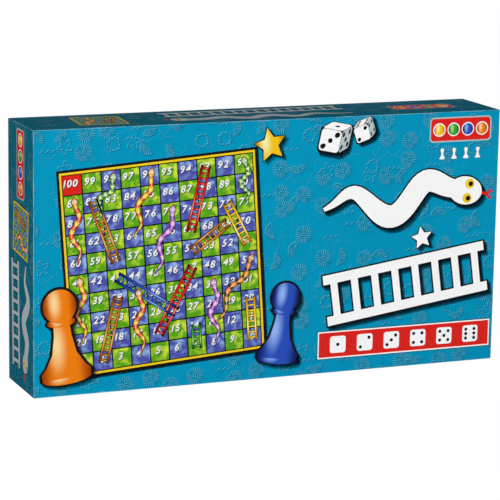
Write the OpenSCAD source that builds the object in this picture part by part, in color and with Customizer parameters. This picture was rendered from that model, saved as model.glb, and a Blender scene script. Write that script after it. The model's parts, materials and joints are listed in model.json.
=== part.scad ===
// Boxed snakes and ladders game: a lift-off lid over a base tray, with a
// folding 10 x 10 board, a card insert, a rules sheet, four counters and a die.
// The closed box stands on a long side, with its cover facing -Y. The origin
// is at the middle of the footprint. Lengths are in millimetres.

/* [Box] */
// Width of the closed box, along its long edge
box_w = 370; // [300:1:440]
// Height of the closed box, which stands on a long side
box_h = 195; // [160:1:250]
// Depth of the closed box, from the cover to the back
box_d = 62; // [46:1:80]
// Thickness of the greyboard of the lid and the base
greyboard_t = 1.5; // [1:0.1:2]
// Thickness of the printed paper that wraps the greyboard
wrap_t = 0.2; // [0.1:0.05:0.3]
// Length of wrap that is turned in over a rim
turn_in = 15; // [8:1:20]
// Thickness of the white lining sheets
liner_t = 0.15; // [0.1:0.05:0.3]
// Thickness of the paper tape that holds each corner together
stay_t = 0.12; // [0.1:0.01:0.2]
// Width of each leg of the corner tape
stay_leg = 12; // [6:1:18]

/* [Fit of the box] */
// Clearance between the walls of the lid and of the base, on each side
lid_clear = 0.6; // [0.3:0.1:1]
// Gap between the lid's lining and the base's rim
rim_gap = 0.4; // [0.2:0.1:0.8]
// How far the base's back lies inside the lid's rim
base_setback = 1; // [0.5:0.1:2]

/* [Folding board] */
// Thickness of the greyboard core of the playing board
core_t = 2; // [1.5:0.1:2.5]
// Thickness of the board's printed face paper and of its backing paper
paper_t = 0.15; // [0.1:0.05:0.25]
// Width of face paper turned over onto the back of the board
board_turn = 10; // [5:1:15]
// Gap between the two printed faces when the board is folded
face_gap = 0.4; // [0.2:0.1:0.8]
// Distance from the fold line to the edge of each half
crease_gap = 0.3; // [0.2:0.1:0.5]
// Thickness of the cloth tape that hinges the two halves
tape_t = 0.2; // [0.1:0.05:0.4]
// Width of cloth tape on each half
tape_w = 15; // [8:1:25]
// Clearance between the board's short edges and the base
board_play = 1.6; // [0.8:0.1:3]
// Clearance under each loose piece that stands on the base's lower wall
seat_gap = 0.3; // [0.15:0.05:0.4]
// Free height over the spine of the folded board
spine_room = 6.6; // [4:0.1:12]
// How far the folded board lies inside the base's rim
board_drop = 5; // [3:0.5:8]

/* [Card insert] */
// Thickness of the insert's card
card_t = 0.8; // [0.5:0.1:1.2]
// Clearance between the insert and the base
insert_gap = 0.3; // [0.2:0.1:0.6]
// Width of the glued feet under the insert's outer legs
foot_w = 16; // [8:1:24]
// Clearance between the row of loose pieces and each wall of the trough
trough_margin = 7; // [4:1:12]

/* [Rules sheet] */
// Thickness of the rules sheet
sheet_t = 0.2; // [0.1:0.05:0.3]
// Gap in front of the rules sheet and behind it
sheet_gap = 0.3; // [0.15:0.05:0.4]
// Margin of card that shows beside the rules sheet
sheet_margin = 10; // [5:1:16]
// Length of the rules sheet
sheet_h = 148; // [105:1:152]

/* [Counters] */
// Diameter of a counter's foot
counter_d = 15; // [12:0.5:18]
// Height of a counter
counter_h = 27; // [22:0.5:32]
// Diameter of a counter's ball head
head_d = 10; // [8:0.5:11]
// Diameter of a counter's neck
neck_d = 6; // [5:0.5:7]
// Diameter of the collar under the head
collar_d = 9; // [8:0.5:10]
// Thickness of the collar
collar_t = 1.4; // [1:0.1:2]
// Height of the upright rim of the foot
foot_h = 2.2; // [1.5:0.1:3]
// Diameter of the hollow under the foot
hollow_d = 11; // [8:0.5:11]
// Depth of the hollow under the foot
hollow_h = 1.5; // [1:0.1:2]
// Gap between neighbours in the row of loose pieces
piece_gap = 5; // [3:0.5:8]
// Gap between the row of loose pieces and the floor of the trough
row_gap = 0.8; // [0.4:0.1:0.9]

/* [Die] */
// Length of the die's edge
die_side = 16; // [12:0.5:18]
// Diameter of a pip
pip_d = 2.6; // [2:0.1:3]
// Distance from a face's middle to its outer pips, along each edge
pip_pitch = 4.1; // [3.5:0.1:4.4]
// Depth of a pip's dimple
pip_depth = 0.5; // [0.3:0.05:0.8]
// Thickness of the paint in a dimple
paint_t = 0.25; // [0.1:0.05:0.3]

/* [Hidden] */

// Every cut runs past its faces by this much
overrun = 1;
round_fn = 64;
curve_steps = 8;
n_counters = 4;
// The die is tumbled from a ball of this diameter, as a share of its edge
die_ball_share = 1.4;
// The neck of a counter lies this share of the way up its height
neck_share = 0.6;
// Power of the flare from a counter's neck to its foot
flare_power = 2;

// Depths, from the cover at the front to the back
cover_y = -box_d / 2;
back_y = box_d / 2;
lid_in_y = cover_y + wrap_t + greyboard_t + liner_t;
base_rim_y = lid_in_y + rim_gap;
base_back_y = back_y - base_setback;
base_floor_y = base_back_y - wrap_t - greyboard_t - liner_t;
half_t = paper_t + core_t + paper_t;
board_y = base_rim_y + board_drop;
fold_y = board_y + half_t + face_gap / 2;
board_back_y = fold_y + face_gap / 2 + half_t;
sheet_y = board_back_y + sheet_gap;
deck_y = sheet_y + sheet_t + sheet_gap;
trough_floor_y = base_floor_y - card_t;

// Half widths and half heights, about the middle of the box
mid_z = box_h / 2;
lid_x = box_w / 2;
lid_z = box_h / 2;
wall_t = wrap_t + greyboard_t + wrap_t;
base_x = lid_x - wall_t - lid_clear;
base_z = lid_z - wall_t - lid_clear;
mouth_x = base_x - wall_t;
mouth_z = base_z - wall_t;

// The board and what stands on the base's lower wall
seat_z = mid_z - mouth_z + seat_gap;
fold_z = mid_z + mouth_z - spine_room;
board_x = mouth_x - board_play;
board_top_z = fold_z - crease_gap;

// The row of loose pieces in the trough
slot_w = max(counter_d, die_side);
row_w = n_counters * counter_d + die_side + n_counters * piece_gap;
trough_x = row_w / 2 + trough_margin;
row_y = trough_floor_y - row_gap - slot_w / 2;
insert_x = mouth_x - insert_gap;

// ---- shared shapes

// Block between two opposite corners, given in any order
module block(p, q) {
    low = [for (i = [0:2]) min(p[i], q[i])];
    high = [for (i = [0:2]) max(p[i], q[i])];
    translate(low) cube(high - low);
}

// Block of half width hx and half height hz about the box's middle, from ya to yb
module centred(hx, hz, ya, yb) {
    block([-hx, ya, mid_z - hz], [hx, yb, mid_z + hz]);
}

// Open tray: a panel whose outside is at y_panel, with four walls up to y_rim
module tray(hx, hz, y_panel, y_rim, t) {
    dir = sign(y_rim - y_panel);
    difference() {
        centred(hx, hz, y_panel, y_rim);
        centred(hx - t, hz - t, y_panel + dir * t, y_rim + dir * overrun);
    }
}

// Tape angles that fold round the four corners between the walls
module corner_stays(hx, hz, ya, yb) {
    past = sign(yb - ya) * overrun;
    for (sx = [-1, 1], sz = [-1, 1]) {
        cx = sx * hx;
        cz = mid_z + sz * hz;
        difference() {
            block([cx, ya, cz], [cx - sx * stay_leg, yb, cz - sz * stay_leg]);
            block(
                [cx - sx * stay_t, ya - past, cz - sz * stay_t],
                [cx - sx * (stay_leg + overrun), yb + past, cz - sz * (stay_leg + overrun)]
            );
        }
    }
}

// Greyboard tray with the corner tape let into its corners
module taped_tray(hx, hz, y_panel, y_rim) {
    difference() {
        tray(hx, hz, y_panel, y_rim, greyboard_t);
        corner_stays(hx, hz, y_panel, y_rim);
    }
}

// Paper skin of a tray: outside, over the rim and turned in behind it
module wrap_skin(hx, hz, y_panel, y_rim) {
    dir = sign(y_rim - y_panel);
    inner = wrap_t + greyboard_t;
    turn_end = y_rim - dir * turn_in;
    difference() {
        centred(hx, hz, y_panel, y_rim);
        centred(hx - wrap_t, hz - wrap_t, y_panel + dir * wrap_t, turn_end);
        difference() {
            centred(hx - wrap_t, hz - wrap_t, turn_end - dir * overrun, y_rim - dir * wrap_t);
            centred(hx - inner, hz - inner, turn_end - dir * 2 * overrun, y_rim);
        }
        centred(hx - wall_t, hz - wall_t, turn_end - dir * overrun, y_rim + dir * overrun);
    }
}

// ---- lid

module lid_chipboard() {
    color("#9b9384")
    taped_tray(lid_x - wrap_t, lid_z - wrap_t, cover_y + wrap_t, back_y - wrap_t);
}

module lid_corner_stays() {
    color("#c9a86a")
    corner_stays(lid_x - wrap_t, lid_z - wrap_t, cover_y + wrap_t, back_y - wrap_t);
}

module lid_wrap() {
    color("#0597bd")
    wrap_skin(lid_x, lid_z, cover_y, back_y);
}

module lid_liner() {
    inset = wrap_t + greyboard_t;
    color("white")
    centred(lid_x - inset, lid_z - inset, lid_in_y - liner_t, lid_in_y);
}

// ---- base

module base_chipboard() {
    color("#9b9384")
    taped_tray(base_x - wrap_t, base_z - wrap_t, base_back_y - wrap_t, base_rim_y + wrap_t);
}

module base_corner_stays() {
    color("#c9a86a")
    corner_stays(base_x - wrap_t, base_z - wrap_t, base_back_y - wrap_t, base_rim_y + wrap_t);
}

module base_wrap() {
    color("#0b6f86")
    wrap_skin(base_x, base_z, base_back_y, base_rim_y);
}

module base_liner() {
    inset = wrap_t + greyboard_t;
    color("white")
    centred(base_x - inset, base_z - inset, base_floor_y, base_floor_y + liner_t);
}

// ---- card insert: feet, legs, two decks and a trough, folded from one card

// One straight run of the card's profile
module run(xa, ya, xb, yb) {
    block([xa, ya, mid_z - mouth_z + insert_gap], [xb, yb, mid_z + mouth_z - insert_gap]);
}

module card_insert() {
    color("#e9e4d8")
    union() {
        run(-trough_x - card_t, trough_floor_y, trough_x + card_t, base_floor_y);
        for (side = [-1, 1]) {
            run(side * trough_x, deck_y, side * (trough_x + card_t), base_floor_y);
            run(side * trough_x, deck_y, side * insert_x, deck_y + card_t);
            run(side * (insert_x - card_t), deck_y, side * insert_x, base_floor_y);
            run(side * (insert_x - foot_w), trough_floor_y, side * insert_x, base_floor_y);
        }
    }
}

module rules_sheet() {
    color("#fbfaf4")
    block(
        [-insert_x + sheet_margin, sheet_y, seat_z],
        [-trough_x - sheet_margin, sheet_y + sheet_t, seat_z + sheet_h]
    );
}

// ---- folding board, drawn as its back half and mirrored for its front half

module half_of_board(front) {
    translate([0, fold_y, 0])
    mirror([0, front ? 1 : 0, 0])
    translate([0, face_gap / 2, 0])
    children();
}

module hinge_leaf() {
    block(
        [-board_x + board_turn, paper_t, board_top_z - tape_w],
        [board_x - board_turn, paper_t + tape_t, board_top_z]
    );
}

module core_half() {
    difference() {
        block(
            [-board_x + paper_t, paper_t, seat_z + paper_t],
            [board_x - paper_t, paper_t + core_t, board_top_z]
        );
        hinge_leaf();
    }
}

// Backing paper, between the turned-in edges of the face paper
module backing_half(extra = 0) {
    block(
        [-board_x + board_turn, paper_t + core_t, seat_z + board_turn],
        [board_x - board_turn, half_t + extra, board_top_z + extra]
    );
}

// Printed face paper, turned over three edges onto the back
module print_half() {
    difference() {
        block([-board_x, 0, seat_z], [board_x, half_t, board_top_z]);
        block(
            [-board_x + paper_t, paper_t, seat_z + paper_t],
            [board_x - paper_t, paper_t + core_t, board_top_z + overrun]
        );
        backing_half(overrun);
    }
}

module board_core_back() { color("#8f8778") half_of_board(false) core_half(); }
module board_core_front() { color("#8f8778") half_of_board(true) core_half(); }
module board_print_back() { color("#6fae2c") half_of_board(false) print_half(); }
module board_print_front() { color("#6fae2c") half_of_board(true) print_half(); }
module board_backing_back() { color("#16506b") half_of_board(false) backing_half(); }
module board_backing_front() { color("#16506b") half_of_board(true) backing_half(); }
module hinge_tape_back() { color("#20242c") half_of_board(false) hinge_leaf(); }
module hinge_tape_front() { color("#20242c") half_of_board(true) hinge_leaf(); }

// ---- counters and die

function row_x(i) = -row_w / 2 + counter_d / 2 + i * (counter_d + piece_gap);

head_z = counter_h - head_d / 2;
neck_z = counter_h * neck_share;
// Angle at which the ball head meets the collar
head_from = -asin(sqrt(1 - pow(neck_d / head_d, 2)));

// Half outline of a counter, from its hollow round to the top of its head
function flare(t) = [
    neck_d / 2 + (counter_d / 2 - neck_d / 2) * pow(1 - t, flare_power),
    foot_h + t * (neck_z - foot_h)
];
function counter_outline() = concat(
    [[0, hollow_h], [hollow_d / 2, hollow_h], [hollow_d / 2, 0], [counter_d / 2, 0]],
    [for (i = [0:curve_steps]) flare(i / curve_steps)],
    [[collar_d / 2, neck_z], [collar_d / 2, neck_z + collar_t], [neck_d / 2, neck_z + collar_t]],
    [for (i = [0:curve_steps]) let (a = head_from + (90 - head_from) * i / curve_steps)
        [max(0, head_d / 2 * cos(a)), head_z + head_d / 2 * sin(a)]]
);

module counter(i) {
    translate([row_x(i), row_y, seat_z])
    rotate_extrude($fn = round_fn)
    polygon(counter_outline());
}

module counter_red() { color("#d9261c") counter(0); }
module counter_yellow() { color("#f5c21a") counter(1); }
module counter_green() { color("#3fa535") counter(2); }
module counter_blue() { color("#2f4fb5") counter(3); }

// Pips of each value, as multiples of the pitch
pip_places = [
    [[0, 0]],
    [[-1, -1], [1, 1]],
    [[-1, -1], [0, 0], [1, 1]],
    [[-1, -1], [-1, 1], [1, -1], [1, 1]],
    [[-1, -1], [-1, 1], [0, 0], [1, -1], [1, 1]],
    [[-1, -1], [-1, 0], [-1, 1], [1, -1], [1, 0], [1, 1]]
];
// Turn that brings the upper face to each value's own face
face_turns = [[180, 0, 0], [-90, 0, 0], [0, -90, 0], [0, 90, 0], [90, 0, 0], [0, 0, 0]];

// One disc at each pip, from depth a to depth b under its face
module pips(a, b) {
    for (value = [0:5], place = pip_places[value])
        rotate(face_turns[value])
        translate([place[0] * pip_pitch, place[1] * pip_pitch, die_side / 2 - b])
        cylinder(d = pip_d, h = b - a, $fn = round_fn);
}

module at_die() {
    translate([row_x(n_counters - 1) + counter_d / 2 + piece_gap + die_side / 2,
        row_y, seat_z + die_side / 2])
    children();
}

module die() {
    color("#f4f4f0")
    at_die()
    difference() {
        intersection() {
            cube(die_side, center = true);
            sphere(d = die_side * die_ball_share, $fn = round_fn);
        }
        pips(-overrun, pip_depth);
    }
}

module die_pips() {
    color("#15161a")
    at_die()
    pips(pip_depth - paint_t, pip_depth);
}

lid_chipboard();
lid_corner_stays();
lid_wrap();
lid_liner();
base_chipboard();
base_corner_stays();
base_wrap();
base_liner();
card_insert();
rules_sheet();
board_core_back();
board_core_front();
board_print_back();
board_print_front();
board_backing_back();
board_backing_front();
hinge_tape_back();
hinge_tape_front();
counter_red();
counter_yellow();
counter_green();
counter_blue();
die();
die_pips();
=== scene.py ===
# %% [markdown]
# # A boxed snakes and ladders game
#
# The real thing is two trays of greyboard, each wrapped in printed paper, one
# sliding over the other. Inside lie a folding board, a card insert, a rules
# sheet, four counters and a die. A CAD model gives the pieces at their real
# size, on their own joints. This lesson dresses them: rounded, worn paper
# with a painted highlight along its edges over the sharp CAD paper, printed
# shapes laid on it like ink, and a grain of its own for each material.

# %% Load the frame
import json
import math

import bpy
from mathutils import Matrix, Vector

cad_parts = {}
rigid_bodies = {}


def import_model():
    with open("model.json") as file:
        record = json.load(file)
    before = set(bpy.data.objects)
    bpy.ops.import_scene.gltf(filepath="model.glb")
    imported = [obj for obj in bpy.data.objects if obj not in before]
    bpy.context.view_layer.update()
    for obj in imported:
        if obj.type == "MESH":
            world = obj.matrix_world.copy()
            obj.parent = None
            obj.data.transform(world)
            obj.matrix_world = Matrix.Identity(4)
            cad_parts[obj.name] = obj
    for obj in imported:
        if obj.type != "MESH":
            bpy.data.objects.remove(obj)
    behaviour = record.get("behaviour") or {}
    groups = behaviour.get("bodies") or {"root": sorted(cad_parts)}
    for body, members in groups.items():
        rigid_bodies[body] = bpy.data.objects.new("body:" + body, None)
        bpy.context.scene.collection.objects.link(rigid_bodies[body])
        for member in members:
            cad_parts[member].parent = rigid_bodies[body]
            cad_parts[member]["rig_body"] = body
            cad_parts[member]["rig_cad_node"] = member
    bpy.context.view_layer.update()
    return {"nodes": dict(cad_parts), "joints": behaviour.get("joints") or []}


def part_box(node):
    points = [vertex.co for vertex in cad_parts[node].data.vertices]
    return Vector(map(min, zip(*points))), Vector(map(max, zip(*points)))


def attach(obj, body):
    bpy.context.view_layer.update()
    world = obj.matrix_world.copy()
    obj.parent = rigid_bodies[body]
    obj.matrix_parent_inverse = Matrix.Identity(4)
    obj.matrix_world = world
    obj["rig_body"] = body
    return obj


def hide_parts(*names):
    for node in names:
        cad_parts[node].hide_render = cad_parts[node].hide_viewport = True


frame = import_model()
bpy.ops.object.select_all(action="DESELECT")
NODES = frame["nodes"]
MM = 0.001

# %% [markdown]
# ## Sizes
#
# Every place is worked out from the CAD boxes, so that the looks follow the
# construction. Lengths are written in millimetres and multiplied by MM.

# %% Sizes read from the frame
lid_low, lid_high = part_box("lid_wrap")
base_low, base_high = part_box("base_wrap")
face_low, face_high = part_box("board_print_back")
front_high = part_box("board_print_front")[1]
sheet_low, sheet_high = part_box("rules_sheet")
cover_w = (lid_high.x - lid_low.x) / MM
cover_h = (lid_high.z - lid_low.z) / MM
box_depth = (lid_high.y - lid_low.y) / MM
board_side = (face_high.x - face_low.x) / MM
sheet_w = (sheet_high.x - sheet_low.x) / MM
sheet_h = (sheet_high.z - sheet_low.z) / MM
hinge = next(joint for joint in frame["joints"] if joint["name"] == "board_unfold")
fold_y = (face_low.y + front_high.y) / 2
fold_z = hinge["pos_m"][2]
print(f"cover {cover_w:.0f} x {cover_h:.0f} mm, board {board_side:.0f} mm square")

# %% [markdown]
# ## Camera
#
# The photograph was taken with a long lens, from the left and a little above,
# so the edges hardly converge. The camera could be aimed with a Track To
# constraint, but this one is also rolled a little, so its axes are worked out
# from three angles. Its place is given in box heights from the lower front
# edge, and grows with the box.

# %% Camera
PHOTO_SIDE_PX = 500
FOCAL_PX = 2374.6
SENSOR_MM = 36
CAMERA_IN_HEIGHTS = Vector((-3.4367, -8.1253, 2.3260))
CAMERA_AZIMUTH = math.radians(-22.35)
CAMERA_ELEVATION = math.radians(11.70)
CAMERA_ROLL = math.radians(0.95)
NEAREST_M = 0.05
FARTHEST_M = 50

back = Vector((
    math.sin(CAMERA_AZIMUTH) * math.cos(CAMERA_ELEVATION),
    -math.cos(CAMERA_AZIMUTH) * math.cos(CAMERA_ELEVATION),
    math.sin(CAMERA_ELEVATION),
))
right = Vector((0, 0, 1)).cross(back).normalized()
up = back.cross(right)
level = Matrix((right, up, back)).transposed()
turned = level @ Matrix.Rotation(CAMERA_ROLL, 3, "Z")
camera_at = CAMERA_IN_HEIGHTS * cover_h * MM + Vector((0, lid_low.y, lid_low.z))
bpy.ops.object.camera_add(location=camera_at, rotation=turned.to_euler())
camera = bpy.context.object
camera.data.sensor_width = SENSOR_MM
camera.data.lens = FOCAL_PX / PHOTO_SIDE_PX * SENSOR_MM
camera.data.clip_start = NEAREST_M
camera.data.clip_end = FARTHEST_M
bpy.context.scene.camera = camera
print(f"camera {camera_at.length:.2f} m away, lens {camera.data.lens:.0f} mm")

# %% [markdown]
# ## Helpers for materials
#
# A material is a tree of shader nodes, which is quick to link by hand for one
# material, but this box has nearly forty. These helpers add a node, set its inputs
# and link what feeds it in one line each. Colours are written as on a paint
# chart and turned into the linear light that Blender works in.

# %% Helpers for shader nodes


def rgb(code):
    """A hex colour as linear red, green, blue and alpha, by the sRGB standard's curve."""
    shares = [int(code[i:i + 2], 16) / 255 for i in (1, 3, 5)]
    return [s / 12.92 if s <= 0.04045 else ((s + 0.055) / 1.055) ** 2.4 for s in shares] + [1]


def fill_inputs(tree, made, inputs):
    """Set a node's inputs to values, or link the sockets that feed them."""
    for key, value in inputs.items():
        if isinstance(value, bpy.types.NodeSocket):
            tree.links.new(value, made.inputs[key])
        else:
            made.inputs[key].default_value = value


def node(tree, kind, inputs=None, **settings):
    """Add a node of this kind to the tree."""
    made = tree.nodes.new("ShaderNode" + kind)
    for key, value in settings.items():
        setattr(made, key, value)
    fill_inputs(tree, made, inputs or {})
    return made


def maths(tree, operation, first, second=0.0):
    return node(tree, "Math", {0: first, 1: second}, operation=operation).outputs[0]


def vector_maths(tree, operation, first, second=(0, 0, 0), scale=1.0):
    made = node(tree, "VectorMath", {0: first, 1: second, 3: scale}, operation=operation)
    return made.outputs["Value" if operation == "LENGTH" else "Vector"]


def axes(tree, vector):
    """The x, y and z of a vector, each as a socket."""
    return node(tree, "SeparateXYZ", {0: vector}).outputs


def product(tree, *values):
    """All the values multiplied together."""
    result = values[0]
    for value in values[1:]:
        result = maths(tree, "MULTIPLY", result, value)
    return result


def from_middle(tree, value, middle=0.5):
    """How far a value is from the middle, either way."""
    return maths(tree, "ABSOLUTE", maths(tree, "SUBTRACT", value, middle))


print("half grey in linear light:", round(rgb("#808080")[0], 2))

# %% Helpers for colours, masks and noise
BLACK = (0.02, 0.02, 0.02, 1)
WHITE = (1, 1, 1, 1)
CLOUDS = (0.3, 0.7)


def blend_colour(tree, share, low, high):
    return node(tree, "Mix", {0: share, 6: low, 7: high}, data_type="RGBA").outputs[2]


def between(tree, value, low, high, to_low=0.0, to_high=1.0):
    """A soft step: to_low where value is under low, to_high where it is over high."""
    made = node(tree, "MapRange", {0: value, 1: low, 2: high, 3: to_low, 4: to_high},
                interpolation_type="SMOOTHSTEP")
    return made.outputs[0]


def noise(tree, vector, scale, detail=2.0, roughness=0.5):
    inputs = {"Vector": vector, "Scale": scale, "Detail": detail, "Roughness": roughness}
    return node(tree, "TexNoise", inputs).outputs[0]


print("most of a noise lies between", *CLOUDS)

# %% Helpers for groups and materials


def effect(name, inputs, outputs):
    """Start a node group with these named sockets."""
    tree = bpy.data.node_groups.new(name, "ShaderNodeTree")
    for socket, kind in inputs.items():
        tree.interface.new_socket(socket, in_out="INPUT", socket_type="NodeSocket" + kind)
    for socket, kind in outputs.items():
        tree.interface.new_socket(socket, in_out="OUTPUT", socket_type="NodeSocket" + kind)
    start = tree.nodes.new("NodeGroupInput").outputs
    end = tree.nodes.new("NodeGroupOutput").inputs
    return tree, start, end


def placed(tree, group, inputs):
    """Place a node group in a tree and return its outputs."""
    made = tree.nodes.new("ShaderNodeGroup")
    made.node_tree = group
    fill_inputs(tree, made, inputs)
    return made.outputs


def material(name, roughness, specular, coat=0.0):
    """A Principled material, with its plain numbers set on the shader itself."""
    made = bpy.data.materials.new(name)
    made.use_nodes = True
    shader = made.node_tree.nodes["Principled BSDF"]
    shader.inputs["Roughness"].default_value = roughness
    shader.inputs["Specular IOR Level"].default_value = specular
    shader.inputs["Coat Weight"].default_value = coat
    return made, made.node_tree, shader


def object_vector(tree):
    return node(tree, "TexCoord").outputs["Object"]


def uv_vector(tree):
    return node(tree, "UVMap").outputs[0]


def bump(tree, shader, height, distance, strength=1.0):
    made = node(tree, "Bump", {"Height": height, "Distance": distance, "Strength": strength})
    tree.links.new(made.outputs[0], shader.inputs["Normal"])


print("materials so far:", len(bpy.data.materials))

# %% [markdown]
# ## The floor and the background
#
# The photograph's background is pure white. More light would bleach the box,
# so the floor and the world are white only to the camera and to reflections,
# which the Light Path node tells apart, and light the box no more than a
# plain studio does. A little of the floor's own shading is kept, for the
# faint shadow that makes the box stand.

# %% Floor and world
FLOOR_SIDE = 12
FLOOR_PAINT = (0.9, 0.9, 0.9, 1)
FLOOR_GLOW = 1.08
WORLD_LIGHT = 0.30
FLOOR_ROUGHNESS = 0.9
SHADOW_SHARE = 0.12


def seen_directly(tree):
    """1 for camera, glossy and transmission rays, 0 for the rest."""
    ray = node(tree, "LightPath").outputs
    seen = maths(tree, "MAXIMUM", ray["Is Camera Ray"], ray["Is Glossy Ray"])
    return maths(tree, "MAXIMUM", seen, ray["Is Transmission Ray"])


world = bpy.data.worlds.new("studio")
bpy.context.scene.world = world
world.use_nodes = True
sky = world.node_tree
sky.nodes["Background"].inputs["Color"].default_value = WHITE
glow = between(sky, seen_directly(sky), 0, 1, to_low=WORLD_LIGHT)
sky.links.new(glow, sky.nodes["Background"].inputs["Strength"])

bpy.ops.mesh.primitive_plane_add(size=FLOOR_SIDE, location=(0, 0, lid_low.z))
floor = bpy.context.object
floor.name = "floor"
white_floor, ground, ground_shader = material("white floor", FLOOR_ROUGHNESS, specular=0.0)
ground_shader.inputs["Base Color"].default_value = FLOOR_PAINT
shine = node(ground, "Emission", {"Color": WHITE, "Strength": FLOOR_GLOW})
share = maths(ground, "MULTIPLY", seen_directly(ground), 1 - SHADOW_SHARE)
both = node(ground, "MixShader", {0: share, 1: ground_shader.outputs[0], 2: shine.outputs[0]})
ground.links.new(both.outputs[0], ground.nodes["Material Output"].inputs["Surface"])
floor.data.materials.append(white_floor)
print("floor:", FLOOR_SIDE, "m wide, world light", WORLD_LIGHT)

# %% [markdown]
# ## Lamps
#
# Three soft boxes light the game. The key lamp stands in front and to the
# left, level with the cover, so that the cover shows its full colour while
# the top and the left side stay darker, as in the photograph. The others open
# the shadows on the right and at the back.

# %% Lamps
LAMP_SIDE = 1.8
LAMPS = {
    "key": {"at": (-1.4, -3.1, 0.5), "watts": 92},
    "fill": {"at": (2.4, -2.6, 0.6), "watts": 9},
    "back": {"at": (-0.6, 3.3, 0.4), "watts": 30},
}
box_middle = Vector((0, 0, cover_h / 2 * MM))
for name, place in LAMPS.items():
    aim = (box_middle - Vector(place["at"])).to_track_quat("-Z", "Y").to_euler()
    bpy.ops.object.light_add(type="AREA", location=place["at"], rotation=aim)
    lamp = bpy.context.object
    lamp.name = name
    lamp.data.size = LAMP_SIDE
    lamp.data.energy = place["watts"]
bpy.context.scene.view_settings.view_transform = "Standard"
print("lamps:", ", ".join(LAMPS))

# %% [markdown]
# ## The film over the print
#
# The printed paper is laminated. The film is never a mirror, because the paper
# under it has a fine orange peel, and handling rubs it dull in places. Every
# ink needs this, so it is one node group, which puts out a roughness and a
# height and is placed in each ink's material.

# %% Node group: print film
PRINT_ROUGHNESS = 0.8
PRINT_SPECULAR = 0.01
PEEL_DEPTH = 0.02
PEEL_SHARE = 0.7
RUB_EDGE = (0.35, 0.7)
RUB_CHANGE = (-0.03, 0.08)

print_film, start, end = effect(
    "print film", {"Vector": "Vector", "Roughness": "Float"},
    {"Roughness": "Float", "Height": "Float"})
peel = noise(print_film, start["Vector"], scale=420, detail=3)
fibre = noise(print_film, start["Vector"], scale=2600)
rubs = noise(print_film, start["Vector"], scale=30, detail=6, roughness=0.7)
dulled = between(print_film, rubs, *RUB_EDGE, *RUB_CHANGE)
print_film.links.new(maths(print_film, "ADD", start["Roughness"], dulled), end["Roughness"])
print_film.links.new(
    maths(print_film, "ADD", product(print_film, peel, PEEL_SHARE),
          product(print_film, fibre, 1 - PEEL_SHARE)),
    end["Height"])


def filmed(tree, shader, ridge=0.0):
    """Give a printed material the film, over any ridge in the paper under it."""
    film = placed(tree, print_film, {"Vector": object_vector(tree), "Roughness": PRINT_ROUGHNESS})
    tree.links.new(film["Roughness"], shader.inputs["Roughness"])
    peel_height = product(tree, film["Height"], PEEL_DEPTH * MM)
    bump(tree, shader, maths(tree, "ADD", peel_height, ridge), 1.0)


print("print film nodes:", len(print_film.nodes))

# %% [markdown]
# ## Fibres
#
# Greyboard, card and plain paper show what they are made of: long fibres,
# clouds where the pulp lay thicker, and flecks of old print. One group gives
# these as masks, and each material decides how much of them it shows.

# %% Node group: fibres
FIBRE_STRETCH = (1, 1, 0.35)
FINE_SHARE = 0.7
CLOUD_SCALE = 0.03
FLECK_SCALE = 0.45
FLECK_EDGE = (0.05, 0.16)

fibres, start, end = effect(
    "fibres", {"Vector": "Vector", "Scale": "Float"},
    {"Tone": "Float", "Fleck": "Float", "Height": "Float"})
stretched = node(fibres, "Mapping", {"Vector": start["Vector"], "Scale": FIBRE_STRETCH}).outputs[0]
fine = noise(fibres, stretched, start["Scale"], detail=6, roughness=0.65)
cloud = noise(fibres, start["Vector"], product(fibres, start["Scale"], CLOUD_SCALE), detail=3)
speck = node(fibres, "TexVoronoi", {
    "Vector": stretched, "Scale": product(fibres, start["Scale"], FLECK_SCALE)}).outputs[0]
fibres.links.new(
    maths(fibres, "ADD", product(fibres, fine, FINE_SHARE), product(fibres, cloud, 1 - FINE_SHARE)),
    end["Tone"])
fibres.links.new(between(fibres, speck, *FLECK_EDGE, to_low=1.0, to_high=0.0), end["Fleck"])
fibres.links.new(fine, end["Height"])
print("fibre nodes:", len(fibres.nodes))

# %% [markdown]
# ## Worn edges
#
# Printed paper wears along its edges first, where the ink cracks and the
# white paper shows. The pale line along the edges is also a painted
# highlight, where a rounded edge catches the light. A pointiness mask would
# need a dense mesh, so this group measures how near a point is to two faces
# of the tray's own box at once. Noise makes the worn and lit line ragged.

# %% Node group: edge wear and painted highlight
CHIP_EDGE = (0.3, 0.75)
CHIP_REACH = (0.35, 1.5)
WORN_AND_LIT_EDGE = (0.55, 1.0)

edge_wear_and_highlight, start, end = effect(
    "edge wear and painted highlight",
    {"Vector": "Vector", "Centre": "Vector", "Half": "Vector", "Width": "Float"},
    {"Mask": "Float"})
offset = vector_maths(edge_wear_and_highlight, "SUBTRACT", start["Vector"], start["Centre"])
away = vector_maths(edge_wear_and_highlight, "ABSOLUTE", offset)
gap_x, gap_y, gap_z = axes(edge_wear_and_highlight, vector_maths(edge_wear_and_highlight, "SUBTRACT", start["Half"], away))
near = maths(edge_wear_and_highlight, "MINIMUM", gap_x, gap_y)
far = maths(edge_wear_and_highlight, "MAXIMUM", gap_x, gap_y)
second = maths(edge_wear_and_highlight, "MAXIMUM", near, maths(edge_wear_and_highlight, "MINIMUM", far, gap_z))
chips = noise(edge_wear_and_highlight, start["Vector"], scale=90, detail=6, roughness=0.7)
ragged = product(edge_wear_and_highlight, start["Width"], between(edge_wear_and_highlight, chips, *CHIP_EDGE, *CHIP_REACH))
nearness = maths(edge_wear_and_highlight, "DIVIDE", second, ragged)
edge_wear_and_highlight.links.new(between(edge_wear_and_highlight, nearness, *WORN_AND_LIT_EDGE, to_low=1.0, to_high=0.0), end["Mask"])
print("edge wear and painted highlight nodes:", len(edge_wear_and_highlight.nodes))

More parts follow.
